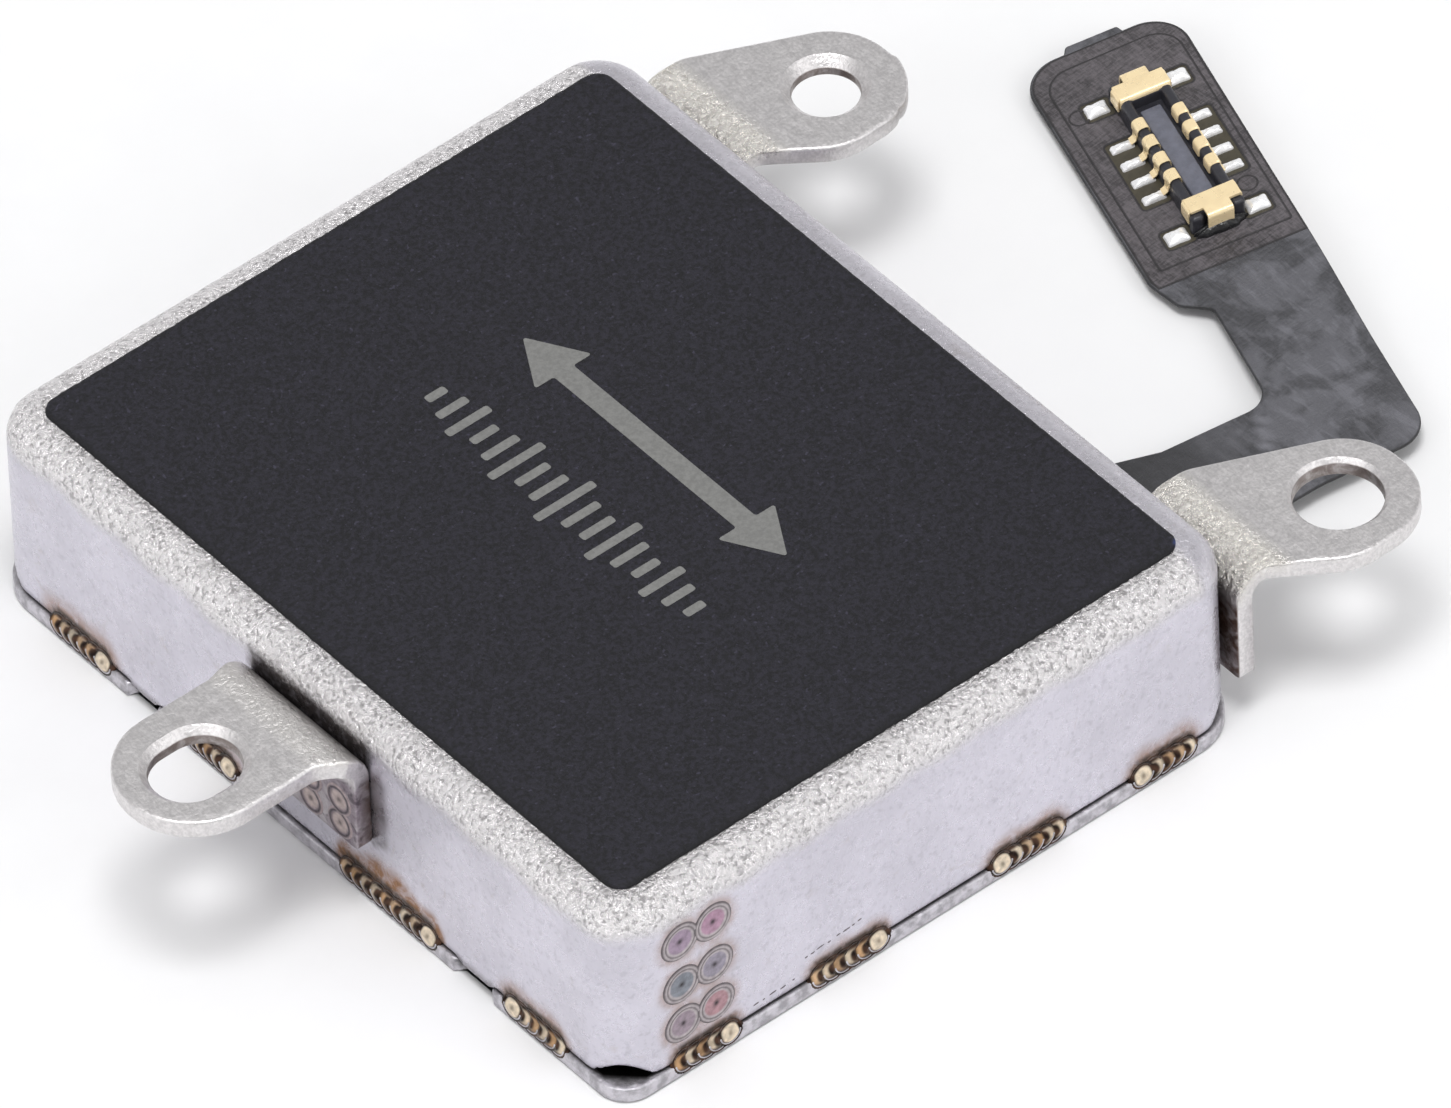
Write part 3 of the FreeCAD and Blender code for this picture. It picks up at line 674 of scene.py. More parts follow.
def can_shape():
    """Drawn can with a rolled top edge, cut up at its lower corners and at the flex exit."""
    foot = PLATE_T + 0.03
    corner_lift, exit_lift, notch_drop, crinkle = 0.24, 0.15, 0.10, 0.010
    arcs = [math.pi / 2 * i / 10 for i in range(11)]
    profile = [(0.66, CAN_TOP), (0.58, CAN_TOP)]
    profile += [(EDGE_R * (1 - math.sin(a)), CAN_TOP - EDGE_R * (1 - math.cos(a))) for a in arcs]
    profile += [(0, z) for z in np.linspace(CAN_TOP - EDGE_R - 0.1, foot + 0.05, 28)]
    profile += [(0.015, foot + 0.015), (0.05, foot), (WALL_T - 0.04, foot), (WALL_T, foot + 0.04)]
    profile += [(WALL_T, 1.2), (WALL_T, CAN_TOP - WALL_T)]
    verts, faces = solid([box_loop(HALF_X, HALF_Y, CORNER_R, 0.09, 0.06)], [profile])
    x, y, z = verts.T
    low = fade(foot, foot + 0.42, z)
    turn = np.arctan2(np.abs(y) - (HALF_Y - CORNER_R), np.maximum(np.abs(x) - (HALF_X - CORNER_R), 1e-6))
    corner = np.sin(np.clip((turn - 0.24) / 1.06, 0, 1) * math.pi)
    corner = np.maximum(corner, 0.3 * fade(0.3, 0.6, turn))
    corner = corner * (turn > 0.24) * (np.abs(x) > HALF_X - CORNER_R)
    start, end = FLEX_EXIT
    exits = (x > HALF_X - WALL_T - 0.05) * plateau(start - 0.05, start + 0.02, end - 0.02, end + 0.05, y)
    over_notch = fade(foot, foot + 0.25, z) * notches(-np.sign(x) * y) * (np.abs(x) > HALF_X - 0.3)
    z_new = z + low * np.maximum(corner * corner_lift, exits * exit_lift) - notch_drop * over_notch
    verts = np.stack([x, y, z_new], 1)
    masks = wall_masks(verts)
    # Painted shade on the can's inner faces, seen through the cuts at its lower corners and at the flex exit.
    inner = (off_corner(x, y) < CORNER_R - 0.03) * (z < CAN_TOP - 0.7)
    masks[:, 1] = np.maximum(masks[:, 1], inner)
    near_edge = smooth(HALF_X - 0.7, HALF_X, np.abs(x)) + smooth(HALF_Y - 0.7, HALF_Y, np.abs(y))
    dent = crinkle * ripple(x, y, z, 0.16) * masks[:, 2] * np.clip(near_edge, 0, 1) - crinkle * masks[:, 2]
    verts[:, 2] += dent * (z > CAN_TOP - EDGE_R)
    return verts, faces, masks


def plate_shape():
    """Flat plate whose long edges step in between their tongues."""
    small, large, edge_r, step_in = 0.50, 0.92, 0.035, 0.20
    corners = [(-PLATE_X, -PLATE_Y, small), (PLATE_X, -PLATE_Y, large), (PLATE_X, PLATE_Y, small),
               (-PLATE_X, PLATE_Y, large)]
    verts, faces = slab(rounded(corners, 0.07, 0.05), 0.0, PLATE_T, edge_r, edge_r, spacing=0.22)
    x, y, z = verts.T
    for sign in (-1, 1):
        side = sign * x > PLATE_X - 0.12
        x = np.where(side, x - sign * notches(-sign * y) * step_in, x)
    # Plate top and upper edges within the can's outline, which the finish paints black as painted shade.
    under = (off_corner(x, y) < CORNER_R - 0.02) * (z > PLATE_T / 2)
    return np.stack([x, y, z], 1), faces, one_mask(under)


piece("can_shell", can_shape(), CAN, "case", ["can_cover"], 50)
piece("floor_plate", plate_shape(), PLATE, "case", ["base_plate"], 40)


# ---- label and its generic mark ----
def label_shape():
    """Thin film with softly rounded, slightly uneven edges."""
    loop = box_loop(LABEL_X - 0.01, LABEL_Y - 0.01, 0.30, 0.08, 0.05)
    top = LABEL_TOP - 0.008
    profile = [(0.12, top), (0.05, top - 0.004), (0.015, top - 0.02), (0, top - 0.04), (0, CAN_TOP - 0.01)]
    verts, faces = solid([loop], [profile], 0.5)
    x, y, z = verts.T
    rim = (z < top - 0.002).astype(float)
    dark = np.maximum(smooth(LABEL_X - 0.10, LABEL_X - 0.02, np.abs(x)),
                      smooth(LABEL_Y - 0.10, LABEL_Y - 0.02, np.abs(y)))
    blue = fade(0.03, 0.10, np.hypot(x - LABEL_X + 0.04, y + LABEL_Y - 0.10))
    verts[:, 0] += rim * 0.006 * ripple(x, y, z, 0.12)
    verts[:, 1] += rim * 0.010 * ripple(y, x, z, 0.10)
    return verts, faces, np.stack([dark, blue], 1)


piece("label_film_sheet", label_shape(), LABEL, "case", ["cover_label"], 60)


def mark_shape():
    """Generic sign for motion along Y: a two-headed arrow beside a burst of bars."""
    z1, z0 = LABEL_TOP - 0.002, LABEL_TOP - 0.03
    mid, reach, neck, half, shaft = 0.86, 3.0, 2.05, 0.55, 0.19
    left = [(mid, reach), (mid - half, neck), (mid - shaft, neck), (mid - shaft, -neck), (mid - half, -neck)]
    arrow = left + [(2 * mid - x, -y) for x, y in left]
    loops = [rounded([(*p, 0.04) for p in arrow], 0.3, 0.02)]
    count, bar_x, bar_half = 17, -0.82, 0.085
    for i in range(count):
        t = 2 * i / (count - 1) - 1
        size = 0.12 + 0.44 * abs(math.cos(2.6 * math.pi * t)) * math.exp(-0.7 * t * t)
        loops.append(box_loop(size, bar_half, 0.05, 0.2, 0.03, at=(bar_x, t * (reach - bar_half))))
    return join([slab(loop, z0, z1, 0.012, 0.0, 1) for loop in loops])


piece("motion_mark", mark_shape(), PRINT, "case", (), 40)


# ---- weld beads ----
def bead_patch(spots, radius, margin, place, height, colour, cell):
    """Raised patch over overlapping round spots; a later spot covers the earlier ones.

    rho is the distance from a spot's centre as a share of its radius, and which is the spot's number.
    """
    spots = np.array(spots, float)
    low, high = spots.min(0) - radius * margin, spots.max(0) + radius * margin + cell
    u, w = np.meshgrid(np.arange(low[0], high[0], cell), np.arange(low[1], high[1], cell))
    nowhere = 9.0
    far, last, which = (np.full(u.shape, start) for start in (nowhere, nowhere, -1))
    for i, (su, sw) in enumerate(spots):
        rho = np.hypot(u - su, w - sw) / radius
        far = np.minimum(far, rho)
        last = np.where(rho < 1, rho, last)
        which = np.where(rho < 1, i, which)
    rho = np.where(which >= 0, last, far)
    up = height(rho, which, len(spots), margin)
    paint = colour(rho, which, len(spots), u, w)
    keep = far < margin
    rows, cols = keep.shape
    quads = keep[:-1, :-1] & keep[1:, :-1] & keep[:-1, 1:] & keep[1:, 1:]
    ids = np.full(keep.shape, -1)
    used = np.zeros(keep.shape, bool)
    for di in (0, 1):
        for dj in (0, 1):
            used[di:rows - 1 + di, dj:cols - 1 + dj] |= quads
    ids[used] = np.arange(used.sum())
    n = int(used.sum())
    front = place(u[used], w[used], up[used])
    back = place(u[used], w[used], np.full(n, BURIED))
    faces, edges = [], {}
    for i, j in zip(*np.nonzero(quads)):
        ring = tuple(int(k) for k in (ids[i, j], ids[i, j + 1], ids[i + 1, j + 1], ids[i + 1, j]))
        faces += [ring, tuple(k + n for k in reversed(ring))]
        edges.update(dict.fromkeys(zip(ring, ring[1:] + ring[:1])))
    faces += [(b, a, a + n, b + n) for a, b in edges if (b, a) not in edges]
    verts, faces = outward(np.concatenate([front, back]), faces)
    return verts, faces, np.tile(paint[used.ravel()], (2, 1))


def on_wall(axis, sign):
    """Place on a wall that faces along this axis: u along it, w up, out away from the can."""
    half, reach = ((HALF_X, PLATE_X), (HALF_Y, PLATE_Y))[axis]

    def place(u, w, out):
        onto_plate = fade(0.20, 0.34, w)
        away = sign * (half + (reach - half) * onto_plate + out)
        return np.stack([away, -sign * u, w] if axis == 0 else [-sign * u, away, w], 1)
    return place


# Cream and golden give the beads' painted highlights and the last spot's disc; umber and brown their burnt
# brown, partly painted shade.
CREAM, GOLDEN, UMBER, BROWN = (np.array(rgb(*c)) for c in ((236, 220, 196), (206, 168, 128), (34, 24, 20),
                                                           (78, 56, 44)))


def seam_height(rho, which, count, margin):
    """Low domes with a groove near the rim."""
    crown = 0.017 * np.sqrt(np.clip(1 - (rho * 0.95) ** 2, 0, 1))
    trench = -0.014 * np.exp(-((rho - 0.80) / 0.10) ** 2)
    outside = -0.004 - 0.02 * smooth(1.0, margin, rho)
    return np.where(which >= 0, crown + trench, outside)


def seam_colour(rho, which, count, u, w):
    """Cream crescents as painted highlights on burnt brown, which is partly painted shade in the grooves; the
    last spot of a row is whole.
    """
    whole = which == count - 1
    dim = fade(0.26, 0.66, np.abs(w - SPOT_Z - 0.01) / SPOT_R)
    # Painted highlight: a crescent on each covered spot's rim, dimmed away from the row's middle height.
    bright = np.where(whole, fade(0.60, 0.74, rho), np.exp(-((rho - 0.64) / 0.21) ** 4) * dim)
    tint = np.where(whole, 1, 0.45 + 0.55 * np.sin(which * 2.4 + u * 3.0))
    light = CREAM * tint[..., None] + GOLDEN * (1 - tint[..., None])
    light = light * (0.92 + 0.08 * np.sin(u * 31 + 3 * np.sin(w * 17)))[..., None]
    light = light * np.where(whole, 1, 0.86 + 0.14 * np.sin(which * 1.3 + 2))[..., None]
    dark = UMBER + (BROWN - UMBER) * (0.5 + 0.5 * np.sin(w * 31 + u * 23))[..., None]
    centre = np.where(whole, np.exp(-(rho / 0.18) ** 2) * 0.6, 0)
    bright = np.clip(bright - centre, 0, 1) * (which >= 0)
    colour = light * bright[..., None] + dark * (1 - bright[..., None])
    return colour.reshape(-1, 3)


def spring_height(rho, which, count, margin):
    """Nearly flat disc inside two low ridges."""
    ridge = 0.014 * np.exp(-((rho - 0.90) / 0.07) ** 2) + 0.010 * np.exp(-((rho - 0.74) / 0.06) ** 2)
    return 0.004 + ridge - 0.03 * smooth(1.0, margin, rho)


def disc_colour(rho, disc, around, outside, edge, shore, rings):
    """Disc that turns into its surround, with soft rings at given shares of the radius."""
    rho = rho[..., None]
    colour = disc + (around - disc) * smooth(*edge, rho)
    for ring, at, width, amount in rings:
        colour = colour + (ring - colour) * np.exp(-((rho - at) / width) ** 2) * amount
    return (colour + (outside - colour) * smooth(*shore, rho)).reshape(-1, 3)


def spring_colour(rho, which, count, u, w):
    """Iridescent discs inside grey rings."""
    tints = np.array([rgb(158, 144, 154), rgb(176, 140, 146), rgb(132, 136, 144), rgb(150, 144, 156),
                      rgb(160, 142, 160), rgb(176, 142, 162)])
    ring, pale, tan = (np.array(rgb(*c)) for c in ((70, 62, 66), (184, 176, 178), (184, 168, 156)))
    rings = (ring, 0.80, 0.045, 0.8), (ring, 1.0, 0.06, 0.9), (ring * 0.6, 0, 0.16, 1.0)
    disc = tints[np.clip(which, 0, len(tints) - 1)]
    return disc_colour(rho, disc, pale, tan, (0.60, 0.70), (1.04, 1.14), rings)


def leg_colour(rho, which, count, u, w):
    """Beige discs in dark rings on the tabs' heat-tinted legs."""
    disc, between, ring = (np.array(rgb(*c)) for c in ((186, 170, 166), (128, 116, 124), (48, 40, 46)))
    rings = (ring, 0.80, 0.07, 0.9), (disc, 0.97, 0.07, 0.6), (ring, 0, 0.2, 0.8)
    return disc_colour(rho, disc, between, between * 0.9, (0.50, 0.74), (1.04, 1.12), rings)


def on_leg(side):
    """Outer face of a tab's leg: u along Y, w up."""
    def place(u, w, out):
        return np.stack([side * (HALF_X + TAB_T + out), u, w], 1)
    return place


def tab_spots():
    """Twin rows of weld spots on the tabs' legs."""
    made, margin, pitch = [], 0.38, 0.73
    for node, side, y0, y1 in TAB_LEGS:
        foot = cad(node)[0][2]
        places = np.linspace(y1 - margin, y0 + margin, round((y1 - y0 - 2 * margin) / pitch) + 1)
        spots = [(y, foot + z) for z in LEG_SPOT_Z for y in places]
        made.append(bead_patch(spots, LEG_SPOT_R, DISC_EDGE, on_leg(side), spring_height, leg_colour, 0.02))
    return made


def scratch_shape():
    """Two broken scuff lines on the -Y wall: short dark slivers, end to end."""
    sides, above, below = 10, 0.002, -0.02
    rim = round_angles(sides)
    slivers = []
    for start, rise, count, step in (((-2.40, 0.77), 0.08, 8, 0.145), ((-3.35, 0.46), 0.02, 5, 0.17)):
        for i in range(count):
            u, w = start[0] + i * step + 0.03 * math.sin(i * 5.3), start[1] + i * step * rise
            length = 0.048 + 0.028 * math.sin(i * 2.1 + start[0])
            ring_u, ring_w = u + length * np.cos(rim), w + 0.014 * np.sin(rim) + 0.010 * math.sin(i * 3.7)
            slivers.append((ring_u, ring_w + 0.12 * (ring_u - u)))
    verts, faces = [], []
    place = on_wall(1, -1)
    for ring_u, ring_w in slivers:
        base = len(verts)
        for out in (above, below):
            verts += list(place(ring_u, ring_w, np.full(sides, out)))
        top, under = list(range(base, base + sides)), list(range(base + sides, base + 2 * sides))
        faces += [tuple(top), tuple(reversed(under))]
        faces += [(top[j], under[j], under[(j + 1) % sides], top[(j + 1) % sides]) for j in range(sides)]
    return outward(np.array(verts), faces)


def weld_pieces():
    """Seam rows on all four walls, but not where the flex comes out; spring spots on both ends."""
    made = []
    exit_low, exit_high = FLEX_EXIT[0] - 0.3, FLEX_EXIT[1] + 0.3
    for sign in (-1, 1):
        for axis in (1, 0):
            for start, last, count in WELD_ROWS[axis]:
                spots = [(start + (last - start) * i / (count - 1), SPOT_Z) for i in range(count)]
                if axis == 0 and sign > 0 and any(exit_low < -s < exit_high for s, z in spots):
                    continue
                made.append(bead_patch(spots, SPOT_R, SEAM_EDGE, on_wall(axis, sign), seam_height,
                                       seam_colour, 0.014))
    discs = [bead_patch(SPRING_SPOTS, SPRING_SPOT_R, DISC_EDGE, on_wall(1, sign), spring_height,
                        spring_colour, 0.016) for sign in (-1, 1)] + tab_spots()
    for name, patches, finish, replaced in (("seam_weld_beads", made, WELD, ["seam_welds"]),
                                            ("spring_weld_spots", discs, SPRING_SPOT, ())):
        piece(name, join(patches), finish, "case", replaced, 60)


weld_pieces()
piece("wall_scuffs", scratch_shape(), SCUFF, "case", (), 40)


# ---- mounting tabs ----
BEND_R = 0.55                          # outer radius of the bend
BEND_MID = BEND_R - TAB_T / 2
BEND_LEN = BEND_MID * math.pi / 2
END_R, EYE_R = 1.20, 1.15              # round ends of the left tab, and of the two others
STUB_R, STUB_FROM, STUB_TO = 1.20, -60, -6     # its radius, and its degrees round the hole


def bend_down(verts, z_top):
    """Fold the flat blank: s runs out along the flange, and down the leg below 0."""
    s, v, w = verts.T
    angle = np.clip(-s / BEND_MID, 0, math.pi / 2)
    down = np.maximum(-s - BEND_LEN, 0)
    u = BEND_R + np.maximum(s, 0) - (BEND_MID + w) * np.sin(angle)
    z = z_top - BEND_R + (BEND_MID + w) * np.cos(angle) - down
    return np.stack([u, v, z], 1)


def stub(loop, centre):
    """Push part of the eye's rim out, where the strip that held the blank was sheared off."""
    x, y = (loop - centre).T
    angle = np.degrees(np.arctan2(y, x))
    far = np.hypot(x, y)
    out = plateau(STUB_FROM, STUB_FROM + 3, STUB_TO - 5, STUB_TO, angle) * np.clip(STUB_R - far, 0, 0.1)
    nick = 0.03 * np.exp(-((angle - STUB_FROM + 4) / 2.5) ** 2)
    return loop + (loop - centre) / far[:, None] * ((out - nick) * (far > EYE_R - 0.1))[:, None]


def tab_shape(plan, z_top, foot, hole, width, stretch, bevel, sign, stubbed):
    """Bent tab from its flat outline; bevel is its hole's; sign turns it to the left or right wall."""
    root = -BEND_LEN - (z_top - BEND_R - foot)
    first, last = ((root, p[1], 0.08) for p in (plan[0], plan[-1]))
    blank = [first] + [(p[0] - BEND_R, *p[1:]) for p in plan[1:-1]] + [last]
    half = TAB_T / 2
    outer = edge_profile(-half, half, 0.05, 0.03)
    through = [(bevel + 0.015, half), (bevel, half - 0.012), (0.012, half - bevel), (0, half - bevel - 0.012),
               (0, 0.02 - bevel / 2), (0, -half + 0.03), (0.008, -half + 0.01), (0.03, -half)]
    hole_loop = eye_loop(hole[0] - BEND_R, hole[1], width / 2, stretch, 64)
    loop = rounded(blank, 0.09, 0.05)
    if stubbed:
        loop = stub(loop, np.array([hole[0] - BEND_R, hole[1]]))
    verts, faces = solid([loop, hole_loop], [outer, through], 0.11)
    s, v, w = verts.T
    # Crinkled zone of the bend, which the finish paints paler as a painted highlight, with painted shade in
    # its crease lines.
    crinkle = plateau(-BEND_LEN - 0.1, -BEND_LEN * 0.5, 0.12, 0.42, s) * smooth(0.07, 0.13, w)
    crinkle = crinkle * (0.3 if sign < 0 else 1)
    away = np.hypot(np.maximum(np.abs(s - hole[0] + BEND_R) - stretch / 2, 0), v - hole[1])
    warm = 0.8 * (away < width / 2 + 0.02) * (w < half - bevel - 0.005)
    warm = np.maximum(warm, (w > half - 0.012) * fade(-BEND_LEN - 0.12, -BEND_LEN + 0.18, s))
    low = fade(-BEND_LEN - 0.15, -BEND_LEN + 0.1, s)
    mauve = low * np.where(w < 0.1, 0.95 if sign < 0 else 0.35, 0)
    if sign < 0:
        high_side = smooth(plan[-1][1] - 0.10, plan[-1][1] - 0.02, v)
        mauve = np.maximum(mauve, 0.55 * fade(-BEND_LEN, 0.0, s) * high_side)
        warm = np.maximum(warm, 0.95 * low * high_side * smooth(-0.12, 0.05, w))
    verts = bend_down(verts, z_top)
    verts[:, 0] += HALF_X
    if sign < 0:
        verts[:, :2] *= -1
    return verts, faces, np.stack([mauve, warm, crinkle], 1)


def right_plan(hole_u, hole_v):
    """Outline of the two tabs on the flex's side: a narrow root that widens to a round eye."""
    r = EYE_R
    return [(-0.1, hole_v - 0.39), (0.50, hole_v - 0.39, 0.5), (hole_u - 0.62, hole_v - r - 0.04, 1.0),
            (hole_u + r, hole_v - r, r * 0.94), (hole_u + r, hole_v + 0.72, r * 0.94),
            (0.92, hole_v + 1.86, 0.6), (-0.1, hole_v + 1.86)]


def left_plan(hole_u, hole_v):
    """Outline of the left tab: a wide root with a shoulder, and a round end."""
    r = END_R
    return [(-0.1, hole_v - 1.31), (0.42, hole_v - 1.31, 0.12), (0.80, hole_v - r, 0.4),
            (hole_u + r, hole_v - r, r * 0.98), (hole_u + r, hole_v + r, r * 0.98),
            (0.80, hole_v + r, 0.4), (0.42, hole_v + 1.44, 0.12), (-0.1, hole_v + 1.44)]


def tab_pieces():
    """The three tabs, where the CAD tabs stand."""
    rows = (("left_tab", left_plan, (2.04, 0.21), 1.19, 0.24, 0.11, -1),
            ("right_tab", right_plan, (2.26, -6.66), 1.35, 0.0, 0.06, 1),
            ("back_tab", right_plan, (2.15, 4.72), 1.03, 0.0, 0.14, 1))
    for node, plan, hole, width, stretch, bevel, sign in rows:
        low, high = cad(node)
        foot = low[2] + (0.10 if sign < 0 else 0)
        stubbed = node == "back_tab"
        shape = tab_shape(plan(*hole), high[2], foot, hole, width, stretch, bevel, sign, stubbed)
        piece(node + "_sheet", shape, TAB, "case", [node], 38)


tab_pieces()


# ---- flexible circuit ----
ALONG = np.array([math.sin(TAIL_TURN), math.cos(TAIL_TURN)])
ACROSS = np.array([math.cos(TAIL_TURN), -math.sin(TAIL_TURN)])
PAD_AT = np.mean(cad("flex_stiffener"), 0)[:2]
CONNECTOR_AT = np.mean(cad("connector_housing"), 0)[:2]
OFF = np.array([(CONNECTOR_AT - PAD_AT) @ ACROSS, (CONNECTOR_AT - PAD_AT) @ ALONG])
ROLL = 0.113                           # slope across the wide end
HOLD_AT = 1.47                         # hold-down pads, along the connector from its middle
SHEET_TOP, COVER_TOP, COPPER_TOP = FLEX_Z1 - 0.014, FLEX_Z1 - 0.006, FLEX_Z1 + 0.002


def rolled(verts):
    """The wide end of the tail is rolled a little about its length."""
    x, y, z = verts.T
    place = verts[:, :2] - PAD_AT
    across, along = place @ ACROSS, place @ ALONG
    return np.stack([x, y, z + ROLL * across * smooth(-4.8, -2.2, along) * smooth(7.5, 9.5, x)], 1)


def on_pad(shape, off=(0, 0)):
    """Place a shape drawn across and along the tail's wide end."""
    local = shape[0][:, :2] + np.array(off)
    plan = PAD_AT + local[:, :1] * ACROSS + local[:, 1:] * ALONG
    return rolled(np.column_stack([plan, shape[0][:, 2]])), *shape[1:]


def tail(across, along):
    """Plan point drawn across and along the tail's wide end."""
    return tuple(PAD_AT + across * ACROSS + along * ALONG)


def flex_shape():
    """One sheet from the coils, out through the wall, to the connector's end."""
    points = [(-4.70, -3.80, 0.4), (5.30, -3.80), (5.30, -4.40), (8.31, -4.42), (9.60, -4.46, 2.0),
              (11.50, -4.72, 0.62), (*tail(1.24, 2.93), 0.62), tail(0.43, 2.92), (*tail(0.39, 3.04), 0.05),
              (*tail(-0.44, 3.04), 0.05), tail(-0.52, 2.91), (*tail(-1.28, 2.90), 0.62), (10.50, 0.47, 0.45),
              (10.52, -0.18, 0.25), (10.83, -0.60, 0.20), (10.15, -2.66, 0.45), (8.31, -2.40),
              (7.40, -2.02, 2.0), (5.60, -1.42), (5.30, -1.42), (5.30, 3.80, 0.4), (-4.70, 3.80, 0.4)]
    loop = rounded(points, 0.12, 0.05)
    profile = [(0.03, SHEET_TOP), (0.008, SHEET_TOP - 0.008), (0, SHEET_TOP - 0.02), (0, FLEX_Z0 + 0.04),
               (0.03, FLEX_Z0 + 0.02)]
    verts, faces = solid([loop], [profile], 0.15)
    x, y, z = verts.T
    dark = 0.9 * (z < SHEET_TOP - 0.002)
    fold_x, fold_y, fold_rise = 9.66, -3.10, 0.02
    crease = np.abs((x - fold_x) * 0.85 + (y - fold_y) * -0.52)
    here = plateau(-3.7, -3.4, -2.8, -2.5, y) * (x > 8.5) * (z > SHEET_TOP - 0.002)
    # Painted highlight along the fold crease.
    light = 0.9 * fade(0.0, 0.12, crease) * here
    # Painted shade on the neck, darkest next to the can.
    dark = np.maximum(dark, 0.75 * fade(8.3, 9.8, x))
    verts = rolled(verts)
    verts[:, 2] += fold_rise * np.exp(-(crease / 0.2) ** 2) * here
    return verts, faces, np.stack([dark, light], 1)


def solder_windows(grow):
    """Openings round the contacts' tails and the hold-down pads, clockwise, about the connector."""
    loops = []
    for side in (-1, 1):
        c0, c1 = sorted((side * 0.40, side * (0.85 + grow)))
        for middle, half in ((0, 0.74), (-HOLD_AT, 0.19), (HOLD_AT, 0.19)):
            a0, a1 = middle - half - grow, middle + half + grow
            ring = [(c, a, 0.06) for c, a in ((c0, a0), (c0, a1), (c1, a1), (c1, a0))]
            loops.append(rounded(ring, 0.08, 0.02))
    return [loop + OFF for loop in loops]


def layer(outer, holes, z0, z1):
    """Thin film with softly rounded, dark edges."""
    profile = [(0.045, z1), (0.025, z1 - 0.002), (0.0, z1 - 0.006), (0.0, z0)]
    verts, faces = solid([outer] + holes, [profile] * (1 + len(holes)), 0.2)
    return verts, faces, one_mask((verts[:, 2] < z1 - 0.001) * 0.9)


def groove(loop, z):
    """Dark embossed line along a closed loop."""
    profile = [(0.005, z + 0.004), (0.0, z), (0.0, z - 0.01)]
    verts, faces = solid([inset(loop, -0.016), inset(loop, 0.016)[::-1]], [profile] * 2)
    return verts, faces, one_mask(np.full(len(verts), 0.8))


def pad_layers():
    """Coverlay of the wide end, the copper area raised beneath it, and its round tooling marks."""
    cover = rounded([(-1.20, -2.13), (1.195, -2.13), (1.22, 2.90, 0.6), (-1.25, 2.87, 0.6),
                     (-1.25, -1.95, 0.1)], 0.1, 0.05)
    copper = rounded([(-1.05, -1.83, 0.05), (1.09, -1.83, 0.05), (1.09, 2.64, 0.45), (-1.05, 2.60, 0.45)],
                     0.1, 0.04)
    low = layer(cover, solder_windows(0.03), SHEET_TOP - 0.01, COVER_TOP)
    high = layer(copper, solder_windows(0.0), COVER_TOP - 0.006, COPPER_TOP)
    marks = [groove(eye_loop(*(OFF + at), 0.15, 0, 32), COPPER_TOP) for at in ((0.69, -1.01), (-0.93, 1.45))]
    return join([on_pad(part) for part in (low, high, *marks)])


sheet = piece("flex_sheet", flex_shape(), FLEX, None, ["flex_base", "flex_tail"], 40)
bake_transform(sheet)
piece("pad_coverlay_layers", pad_layers(), COVERLAY, "tail", (), 40)

window_beds = [solid([loop[::-1]], [[(-0.01, SHEET_TOP + 0.004), (-0.01, SHEET_TOP - 0.01)]])
               for loop in solder_windows(0.0)]
piece("bare_substrate", join([on_pad(bed) for bed in window_beds]), OLIVE, "tail", (), 40)
stiffener = slab(box_loop(1.08, 2.08, 0.45, 0.3, 0.08), cad("flex_stiffener")[0][2], FLEX_Z0 + 0.005,
                 0.01, 0.02, 2, 0.5)
piece("stiffener_sheet", on_pad(stiffener), STIFFENER, "tail", ["flex_stiffener"], 40)


# ---- board connector ----
BODY_W, BODY_L, BODY_TOP = 0.40, 1.56, cad("connector_housing")[1][2]
TROUGH_W, TROUGH_L, FLOOR_Z = 0.235, 1.10, FLEX_Z1 + 0.10
PITCH, STRAP_T, STRAP_HALF, FOOT_HALF = 0.39, 0.026, 0.115, 0.07
CONTACT_AT = [(i - 1.5) * PITCH for i in range(4)]


def box_piece(c0, c1, a0, a1, z0, z1, radius, edge):
    """Small moulded block with rounded corners and top edge."""
    at = ((c0 + c1) / 2, (a0 + a1) / 2)
    radius = min(radius, 0.8 * (c1 - c0) / 2, 0.8 * (a1 - a0) / 2)
    edge = min(edge, 0.8 * radius)
    return slab(box_loop((c1 - c0) / 2, (a1 - a0) / 2, radius, 0.12, 0.02, at=at), z0, z1, edge, 0.0)


def strip(path, half_width, thickness, along_a, at, edge=0.012):
    """Sheet-metal strap bent along a path of (sideways, z); its width lies along the other axis."""
    path = np.array(path, float)
    normal = left_normals(np.gradient(path, axis=0))
    ring = [(-half_width, -0.5), (-half_width, 0.5 - edge / thickness), (edge - half_width, 0.5),
            (half_width - edge, 0.5), (half_width, 0.5 - edge / thickness), (half_width, -0.5)]
    verts = []
    for p, n in zip(path, normal):
        for w, t in ring:
            s, z = p + n * t * thickness
            verts.append((w + at, s, z) if along_a else (s, w + at, z))
    k, last = len(ring), (len(path) - 1) * len(ring)
    faces = [(i + j, i + (j + 1) % k, i + k + (j + 1) % k, i + k + j)
             for i in range(0, last, k) for j in range(k)]
    faces += [tuple(reversed(range(k))), tuple(range(last, last + k))]
    return outward(np.array(verts), faces)


def arc_path(points, radius, steps=5):
    """Polyline with its inner corners rounded."""
    out = [np.array(points[0], float)]
    for before, here, after in zip(points, points[1:], points[2:]):
        before, here, after = (np.array(p, float) for p in (before, here, after))
        a = here + (before - here) / np.linalg.norm(before - here) * radius
        b = here + (after - here) / np.linalg.norm(after - here) * radius
        out += [(1 - t) ** 2 * a + 2 * t * (1 - t) * here + t * t * b for t in np.linspace(0, 1, steps)]
    out.append(np.array(points[-1], float))
    return out


